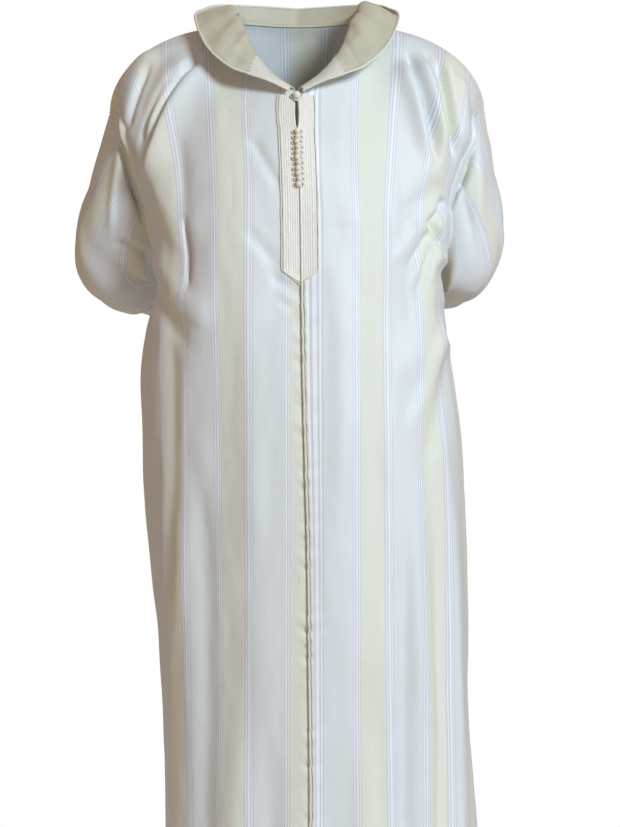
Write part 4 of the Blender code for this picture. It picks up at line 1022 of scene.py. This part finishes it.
satinFace = stripedSatin("stripedSatinFace", satinLook["face"])
satinReverse = stripedSatin("stripedSatinReverse", satinLook["reverse"])
creamSatin = plainSatin("creamLiningSatin", "#D4D1C0", "#C9C3AC", 0.46)
facingSatin = plainSatin("paleFacingSatin", "#E6E6DF", "#DDDACC", 0.44)
braidSilk = silkCord("silkBraid", "#F1F0EA", "#E2DFD3", 0.42)
knotSilk = silkCord("silkKnots", "#F6F4EC", "#DDD8C6", 0.34)
threadSilk = silkCord("sewingThread", "#E9E6DA", "#D8D2BF", 0.5)
print("materials ready")

# the body, first smooth, then folded, and the sleeves on its armholes
bothSides = ((-1, "Right"), (1, "Left"))  # of the wearer
panels, places, shares, smooth = {}, {}, {}, {}
for side in (-1, 1):
    for face in ("front", "back"):
        panels[side, face], places[side, face], shares[face] = panelGrid(side, face)
        smooth[side, face] = outward(gridNormals(panels[side, face]), side, face)
shareSeams([(panels[key], smooth[key], False) for key in panels])
for side in (-1, 1):
    pairTopRow(smooth[side, "front"])
for (side, face), grid in panels.items():
    panels[side, face] = foldedPanel(side, face, grid, smooth[side, face], places[side, face], shares[face])
upper = fineness["upperRows"] + 1
sleeves, sleevePlaces = {}, {}
for side in (-1, 1):
    loop = np.vstack((panels[side, "front"][:upper, -1], panels[side, "back"][upper - 2:0:-1, -1]))
    sleeves[side], sleevePlaces[side] = sleeveGrid(side, loop)
print("cloth draped")

leans = {key: outward(gridNormals(grid), *key) for key, grid in panels.items()}
sleeveLeans = {side: -side * gridNormals(grid, True) for side, grid in sleeves.items()}
shareSeams([(panels[key], leans[key], False) for key in panels]
           + [(sleeves[side], sleeveLeans[side], True) for side in sleeves])
for side in (-1, 1):
    pairTopRow(leans[side, "front"])

# on the wearer's left front the weave starts with its cord lines right beside the centre seam
seamStart = {"from": 0.0245, "until": 0.041}
across = places[1, "front"][:, :, 0]
seam = across[:, :1].copy()
share = np.clip((across - seam) / (seamStart["until"] - seam), 0, 1)
shifted = seamStart["from"] + share * (seamStart["until"] - seamStart["from"])
places[1, "front"][:, :, 0] = np.where(across < seamStart["until"], shifted, across)

hems = {"turned": 0.022, "thicker": 0.0009, "ease": 0.003, "stitchedBelow": 0.004}


def aboveHem(place):
    # how far each row of a sheet is above its lower edge
    return place[-1, :, 1].mean() - place[:, :, 1].mean(axis=1)


def hemThickness(place):
    turned = between(-aboveHem(place), -hems["turned"] - hems["ease"], -hems["turned"] + hems["ease"])
    return cloth["wall"] + hems["thicker"] * turned


both = [satinFace, satinReverse]
frontThick = hemThickness(places[-1, "front"])
fronts = {}
for side, word in bothSides:
    fronts[side] = [part[side, "front"] for part in (panels, leans, places)]
    clothPiece("front" + word + "Cloth", fronts[side], ["front_" + word.lower() + "_panel"], both,
               dips=("first", "last"), thick=frontThick)
back = [np.hstack((part[-1, "back"][:, :0:-1], part[1, "back"])) for part in (panels, leans, places)]
clothPiece("backCloth", back, ["back_panel"], both, dips=("first", "last"), thick=hemThickness(back[2]))
for side, word in bothSides:
    clothPiece("sleeve" + word + "Cloth", (sleeves[side], sleeveLeans[side], sleevePlaces[side]),
               ["sleeve_" + word.lower()], both, dips=("top",), thick=hemThickness(sleevePlaces[side]),
               wraps=True)
print("body and sleeves sewn")

hood = keepBehind(hoodGrid(), back[0][:upper])
hoodLean = gridNormals(hood)
clothPiece("hoodCloth", (hood, hoodLean, measuredCloth(hood)), ["hood"], [satinFace, creamSatin])
facings, facingLeans = {}, {}
for side, word in bothSides:
    grid = collarGrid(side, 0.0, neckCut["facingEnd"], fineness["facingSteps"], fineness["facingRows"])
    facings[side], facingLeans[side] = grid, -side * gridNormals(grid)
    clothPiece("neckFacing" + word + "Cloth", (grid, facingLeans[side], measuredCloth(grid)),
               ["neck_facing_" + word.lower()], [facingSatin, facingSatin])
print("hood and facings sewn")


def evenPath(points, leans, step, closed=False):
    # the same line in even steps, with a direction out of the cloth at each point
    rows = np.column_stack((points, leans))
    if closed:
        rows = np.vstack((rows, rows[:1]))
    length = lengthAlong(rows[:, :3])
    count = max(int(round(length[-1] / step)), 4)
    at = np.linspace(0, length[-1], count + 1)
    rows = atLengths(at[:-1] if closed else at, length, rows)
    return rows[:, :3], unit(rows[:, 3:])


def frameOf(line, out, closed=False):
    ahead = np.roll(line, -1, axis=0) - np.roll(line, 1, axis=0) if closed else np.gradient(line, axis=0)
    across = unit(np.cross(unit(ahead), out))
    return across, np.cross(across, unit(ahead))


def ringFaces(count, around, closed=False):
    # quads between rings of points that follow each other
    at = np.arange(count * around).reshape(count, around)
    at = np.vstack((at, at[:1])) if closed else at
    beside = np.roll(at, -1, axis=1)
    return np.stack((at[:-1], beside[:-1], beside[1:], at[1:]), axis=-1).reshape(-1, 4)


def tubePart(line, out, radius, sides=6, closed=False):
    # points and faces of one round strand
    across, up = frameOf(line, out, closed)
    turns = np.arange(sides) / sides * 2 * math.pi
    ring = across[:, None, :] * np.cos(turns)[None, :, None] + up[:, None, :] * np.sin(turns)[None, :, None]
    points = (line[:, None, :] + ring * radius).reshape(-1, 3)
    faces = ringFaces(len(line), sides, closed).tolist()
    if not closed:
        last = (len(line) - 1) * sides
        faces += [range(sides)[::-1], range(last, last + sides)]
    return points, faces


twist = {"strands": 2, "strand": 0.62, "offset": 0.42}  # number, and radii as shares of the whole cord's


def twistedParts(line, out, strand, offset, pitch, hand=1, sides=6, closed=False):
    # strands wound round a line, as in a cord
    across, up = frameOf(line, out, closed)
    length = lengthAlong(line)
    turns = length / pitch
    if closed:
        whole = length[-1] + np.linalg.norm(line[0] - line[-1])
        turns = length / whole * round(whole / pitch)
    parts = []
    for number in range(twist["strands"]):
        angle = hand * 2 * math.pi * turns + 2 * math.pi * number / twist["strands"]
        shift = across * np.cos(angle)[:, None] + up * np.sin(angle)[:, None]
        parts.append(tubePart(line + shift * offset, out, strand, sides, closed))
    return parts


def cordParts(line, out, radius, pitch, **more):
    return twistedParts(line, out, radius * twist["strand"], radius * twist["offset"], pitch, **more)


def trimPiece(name, parts, nodes=(), material=braidSilk):
    faces, base = [], 0
    for points, partFaces in parts:
        faces += [tuple(base + i for i in face) for face in partFaces]
        base += len(points)
    points = np.vstack([points for points, partFaces in parts])
    newPiece(name, meshFrom(name, points, faces), [material], nodes)


frontRows = {}


def frontRow(side, z):
    # one level of a front near the centre: points, directions out, and distance from the centre edge
    near = fineness["placketColumns"]
    grid, lean = panels[side, "front"][:, :near], leans[side, "front"][:, :near]
    heights = grid[:, :, 2]
    rows = []
    for j in range(grid.shape[1]):
        i = int(np.clip(np.searchsorted(-heights[:, j], -z) - 1, 0, len(heights) - 2))
        share = float(np.clip((heights[i, j] - z) / (heights[i, j] - heights[i + 1, j]), 0, 1))
        rows.append([part[i, j] * (1 - share) + part[i + 1, j] * share for part in (grid, lean)])
    points, outs = np.array(rows).transpose(1, 0, 2)
    return lengthAlong(points[:, :2]), np.hstack((points, outs))


def onFront(side, distance, z):
    # the point of a front at a distance from its centre edge, and the direction out of the cloth there
    key = (side, round(z, 4))
    if key not in frontRows:
        frontRows[key] = frontRow(*key)
    found = atLengths([distance], *frontRows[key])[0]
    return found[:3], unit(found[3:])


def lineOnFront(side, spots, rise):
    # points at the given distances and heights, raised off the cloth, and the directions out of it
    points, outs = np.array([onFront(side, *spot) for spot in spots]).transpose(1, 0, 2)
    return points + outs * rise, outs


placket = {
    "half": 0.0275,
    "tipZ": -0.391,
    "cornerZ": -0.372,
    "topDrop": 0.004,
    "inner": 0.0006,
    "braidWidth": 0.0240,  # from the centre to the start of the edging
    "base": 0.0013,
    "cords": 7,
    "cordRise": 0.0007,
    "twist": 0.0052,  # metres of cord for one turn of its threads
    "twistRise": 0.00022,
    "threadLean": 0.9,  # turns that a thread gains across a cord
    "wander": 0.0002,
    "wanderScale": (220, 90),  # across and down
    "edging": 0.00125,  # radius of the edging cord
    "edgingSway": 0.0007,
    "swayScale": 11,
    "edgingSteps": (120, 24),  # down to the corner, and from there to the tip
    "edgingDrop": (0.0010, 0.0015),  # below the corner and below the tip
    "edgingEnd": 0.0002,
    "edgingStep": 0.0008,
    "edgingPitch": 0.0046,
    "rowStep": 0.00125,
    "columnStep": 0.00044,
}
lift = cloth["wall"] / 2 + cloth["trimGap"]


def placketBraid(side, word, top):
    # upright cords of twisted floss laid side by side and stitched to the front
    distances = np.arange(placket["inner"], placket["braidWidth"], placket["columnStep"])
    rows = int((top - placket["cornerZ"]) / placket["rowStep"])
    lane = (distances - placket["inner"]) / (placket["braidWidth"] - placket["inner"]) * placket["cords"]
    profile = np.sqrt(np.clip(1 - (2 * (lane % 1.0) - 1) ** 2, 0, 1))
    hand = np.where(lane.astype(int) % 2 == 0, 1, -1)
    lowEnd = placket["tipZ"] + (placket["cornerZ"] - placket["tipZ"]) * distances / placket["half"]
    acrossScale, downScale = placket["wanderScale"]
    spots, rises = [], []
    for i in range(rows + 1):
        for j, distance in enumerate(distances):
            z = top + (lowEnd[j] - top) * (i / rows)
            turn = z / placket["twist"] + hand[j] * (lane[j] % 1.0) * placket["threadLean"]
            thread = placket["twistRise"] * math.cos(2 * math.pi * turn) * profile[j]
            wander = noise.noise(Vector((distance * acrossScale, 5.0 * side, z * downScale)))
            wander *= placket["wander"]
            rises.append([placket["base"] + placket["cordRise"] * profile[j] + thread + wander])
            spots.append((distance, z))
    points = np.vstack([lineOnFront(side, spots, lift + rise)[0] for rise in (np.array(rises), 0)])
    sides, rims = slabFaces(rows + 1, len(distances))
    faces = np.vstack([sides] + rims)[:, ::side]
    trimPiece("placketBraid" + word, [(points, faces)], ["placket_braid_" + word.lower()])


def placketEdging(side, word, top):
    # a cord that follows the outline of the placket down, across to its tip
    start = (placket["braidWidth"] + placket["half"]) / 2
    (cornerSteps, tipSteps), (cornerDrop, tipDrop) = placket["edgingSteps"], placket["edgingDrop"]
    spots = []
    for share in np.linspace(0, 1, cornerSteps):
        sway = placket["edgingSway"] * noise.noise(Vector((9.0 * side, 0.0, share * placket["swayScale"])))
        spots.append((start + sway, top + (placket["cornerZ"] - cornerDrop - top) * share))
    for share in np.linspace(0, 1, tipSteps)[1:]:
        z = placket["cornerZ"] - cornerDrop + (placket["tipZ"] - tipDrop - placket["cornerZ"]) * share
        spots.append((start + (placket["edgingEnd"] - start) * share, z))
    line, outs = evenPath(*lineOnFront(side, spots, lift + placket["edging"]), placket["edgingStep"])
    parts = cordParts(line, outs, placket["edging"], placket["edgingPitch"], hand=side)
    trimPiece("placketEdging" + word, parts, ["placket_braid_" + word.lower()])


for side, word in bothSides:
    top = panels[side, "front"][0, 0, 2] - placket["topDrop"]
    placketBraid(side, word, top)
    placketEdging(side, word, top)
print("placket stitched on")

seamCord = {
    "start": 0.0030,
    "end": 0.0006,
    "first": 0.0024,
    "apart": 0.0041,
    "strand": 0.00116,
    "offset": 0.00090,
    "pitch": 0.0066,
    "step": 0.0011,
    "tape": 0.0006,
    "tapeColumns": (0.0002, 0.0022, 0.0044, 0.0066, 0.0088),
    "tapeSunk": 0.0002,
    "heightStep": 0.004,
}


def centreCord():
    # two twisted cords laid side by side on a narrow tape, along the edge of the wearer's left front
    start, end = placket["tipZ"] + seamCord["start"], bodyCut["hemZ"] + seamCord["end"]
    heights = np.arange(start, end, -seamCord["heightStep"])
    parts = []
    raised = lift + seamCord["tape"] + seamCord["strand"] + seamCord["offset"]
    for number, hand in enumerate((-1, 1)):
        spots = [(seamCord["first"] + number * seamCord["apart"], z) for z in heights]
        line, outs = evenPath(*lineOnFront(1, spots, raised), seamCord["step"])
        parts += twistedParts(line, outs, seamCord["strand"], seamCord["offset"], seamCord["pitch"],
                              hand=hand)
    tape = [(distance, z) for z in heights for distance in seamCord["tapeColumns"]]
    rises = (seamCord["tape"], -seamCord["tapeSunk"])
    points = np.vstack([lineOnFront(1, tape, lift + rise)[0] for rise in rises])
    sides, rims = slabFaces(len(heights), len(seamCord["tapeColumns"]))
    parts.append((points, np.vstack([sides] + rims)))
    trimPiece("centreCord", parts, ["centre_front_cord"])


centreCord()
print("centre cord stitched on")

rimCord = {"strand": 0.00112, "offset": 0.00080, "pitch": 0.0072, "step": 0.0011, "beyond": 0.0016}


def rimLine(grid, lean):
    return np.hstack((grid[-1] + unit(grid[-1] - grid[-2]) * rimCord["beyond"], lean[-1]))


rims = np.vstack((rimLine(facings[-1], facingLeans[-1])[:-1], rimLine(hood, hoodLean),
                  rimLine(facings[1][:, ::-1], facingLeans[1][:, ::-1])[1:]))
line, outs = evenPath(rims[:, :3], rims[:, 3:], rimCord["step"])
trimPiece("hoodRimCord", twistedParts(line, outs, rimCord["strand"], rimCord["offset"], rimCord["pitch"]),
          ["hood_edge_cord"])

stitches = {
    "step": 0.00115,
    "radius": 0.00036,
    "sink": (-0.6, 0.5, 0.5, -0.6),  # height of its four points, in radii: the ends are drawn into the cloth
    "apart": 0.0018,
    "above": 0.0004,
    "barHalf": 0.0042,
    "barRadius": 0.0008,
    "barSteps": 9,
    "bars": (-3, -5, -7),
}


def stitchParts(line, outs, closed=False):
    # short straight stitches
    line, outs = evenPath(line, outs, stitches["step"], closed)
    rise = np.array(stitches["sink"])[:, None] * stitches["radius"]
    count = len(rise)
    runs = [slice(i, i + count) for i in range(0, len(line) - count, count)]
    return [tubePart(line[run] + outs[run] * rise, outs[run], stitches["radius"], sides=5) for run in runs]


def hemRow(grid, lean, place):
    # the row of points just below the top of the turned hem
    row = int(np.argmin(np.abs(aboveHem(place) - hems["turned"] + hems["stitchedBelow"])))
    return grid[row] + lean[row] * lift, lean[row]


parts = [part for sheet in (fronts[-1], fronts[1], back) for part in stitchParts(*hemRow(*sheet))]
trimPiece("hemStitches", parts, material=threadSilk)
for side, word in bothSides:
    line, out = hemRow(sleeves[side], sleeveLeans[side], sleevePlaces[side])
    trimPiece("cuffStitches" + word, stitchParts(line, out, True), material=threadSilk)
    # two rows beside the seam where the facing is joined to the hood, and bars of thread at its end
    seam, lean = facings[side][:, -1], -facingLeans[side][:, -1]
    over = seam + lean * (cloth["wall"] / 2 + stitches["above"])
    beside = unit(seam - facings[side][:, -2])
    parts = []
    for shift in (-stitches["apart"], stitches["apart"]):
        parts += stitchParts(over[1:-1] + beside[1:-1] * shift, lean[1:-1])
    for spot in stitches["bars"]:
        reach = np.linspace(-stitches["barHalf"], stitches["barHalf"], stitches["barSteps"])[:, None]
        outs = np.tile(lean[spot], (len(reach), 1))
        parts.append(tubePart(over[spot] + beside[spot] * reach, outs, stitches["barRadius"]))
    trimPiece("facingStitches" + word, parts, material=threadSilk)
print("stitches sewn")

armholeCord = {"radius": 0.00115, "step": 0.0012, "pitch": 0.005, "above": 0.0004}
for side, word in bothSides:
    lean = sleeveLeans[side][0]
    over = sleeves[side][0] + lean * (cloth["wall"] / 2 + armholeCord["above"])
    line, outs = evenPath(over, lean, armholeCord["step"], closed=True)
    parts = cordParts(line, outs, armholeCord["radius"], armholeCord["pitch"], closed=True)
    trimPiece("armholeCord" + word, parts)
print("edge cords laid")

knots = {
    "count": 11,
    "firstZ": -0.1755,
    "pitch": 0.0076,
    "radius": 0.0041,
    "above": 0.0003,
    "sway": 0.0007,
    "around": 40,
    "levels": 26,
    "relief": 0.13,
    "swayTurn": 2.3,  # from knot to knot, and so is the next
    "turn": 0.7,
    "winds": (2.5, 3.2),  # of the strands, round the knot and down it
    "strandShape": (0.6, 0.8),  # sharpness and middle height of a strand
    "poles": 0.95,
    "loop": (0.0074, 0.0036),  # half width, half height
    "loopDrop": 0.0004,
    "loopSteps": 32,
    "loopCord": 0.00105,
    "loopTilt": 0.0006,
    "loopStrand": 0.6,  # radius of a strand as a share of the cord's
    "loopPitch": 0.0026,
    "neckZ": -0.1235,
    "neckRadius": 0.0056,
    "neckAbove": 0.0004,
    "neckLoops": ((0.0066, 0.0060, 0.0), (0.0082, 0.0050, 0.0012), (0.0052, 0.0078, 0.0014)),  # and height
    "neckLoopCord": 0.0011,
    "neckTurn": 0.4,
    "neckLoopAbove": 0.0012,
    "neckLoopTilt": 0.0005,
}


def overPlacket(z, raised):
    ends = [onFront(side, 0.0, z) for side in (-1, 1)]
    out = unit(ends[0][1] + ends[1][1])
    return (ends[0][0] + ends[1][0]) / 2 + out * (lift + placket["base"] + raised), out


def standing(out):
    # directions across and up that are square to the direction out
    across = unit(np.cross((0.0, 0.0, 1.0), out))
    return across, np.cross(out, across)


def knotPart(centre, out, radius, turn):
    # a ball of plaited floss: strands cross over and under all round it
    across, up = standing(out)
    around, levels = knots["around"], knots["levels"]
    theta = np.linspace(0, math.pi, levels + 1)[1:-1, None]
    phi = np.arange(around)[None, :] / around * 2 * math.pi
    (windRound, windDown), (sharp, middle) = knots["winds"], knots["strandShape"]
    first = np.abs(np.cos(windRound * phi + windDown * theta + turn))
    second = np.abs(np.cos(windRound * phi - windDown * theta + turn))
    size = radius * (1 + knots["relief"] * (np.maximum(first ** sharp, second ** sharp) - middle))
    points = (centre + (size * np.sin(theta) * np.cos(phi))[..., None] * across
              + (size * np.sin(theta) * np.sin(phi))[..., None] * out
              + (size * np.cos(theta))[..., None] * up)
    rings = levels - 1
    pole = up * radius * knots["poles"]
    points = np.vstack((points.reshape(-1, 3), [centre + pole], [centre - pole]))
    faces = ringFaces(rings, around)[:, ::-1].tolist()
    for j in range(around):
        k, low = (j + 1) % around, (rings - 1) * around
        faces += [(rings * around, j, k), (rings * around + 1, low + k, low + j)]
    return points, faces


def loopParts(centre, out, reach, height, cord, tilt):
    # a small loop of cord round a knot
    across, up = standing(out)
    turns = np.linspace(0, 2 * math.pi, knots["loopSteps"] + 1)[:-1, None]
    line = centre + across * np.cos(turns) * reach + up * np.sin(turns) * height + out * np.cos(turns) * tilt
    outs = np.tile(out, (len(line), 1))
    return twistedParts(line, outs, cord * knots["loopStrand"], cord * twist["offset"], knots["loopPitch"],
                        closed=True, sides=5)


for number in range(knots["count"]):
    z = knots["firstZ"] - number * knots["pitch"]
    sway = np.array((knots["sway"] * math.sin(knots["swayTurn"] * number), 0.0, 0.0))
    centre, out = overPlacket(z, knots["radius"] + knots["above"])
    parts = [knotPart(centre + sway, out, knots["radius"], knots["turn"] * number)]
    base, out = overPlacket(z - knots["loopDrop"], placket["cordRise"] + knots["loopCord"])
    tilt = knots["loopTilt"] * (-1) ** number
    parts += loopParts(base + sway, out, *knots["loop"], knots["loopCord"], tilt)
    trimPiece("knot%02d" % (number + 1), parts, ["knot_%02d" % (number + 1)], knotSilk)
centre, out = overPlacket(knots["neckZ"], knots["neckRadius"] + knots["neckAbove"])
trimPiece("neckKnot", [knotPart(centre, out, knots["neckRadius"], knots["neckTurn"])], ["neck_knot"],
          knotSilk)
base, out = overPlacket(knots["neckZ"], placket["cordRise"] + knots["neckLoopAbove"])
parts = []
for reach, height, raised in knots["neckLoops"]:
    parts += loopParts(base + out * raised, out, reach, height, knots["neckLoopCord"], knots["neckLoopTilt"])
trimPiece("neckLoop", parts, ["neck_loop"], knotSilk)
print("knots tied")
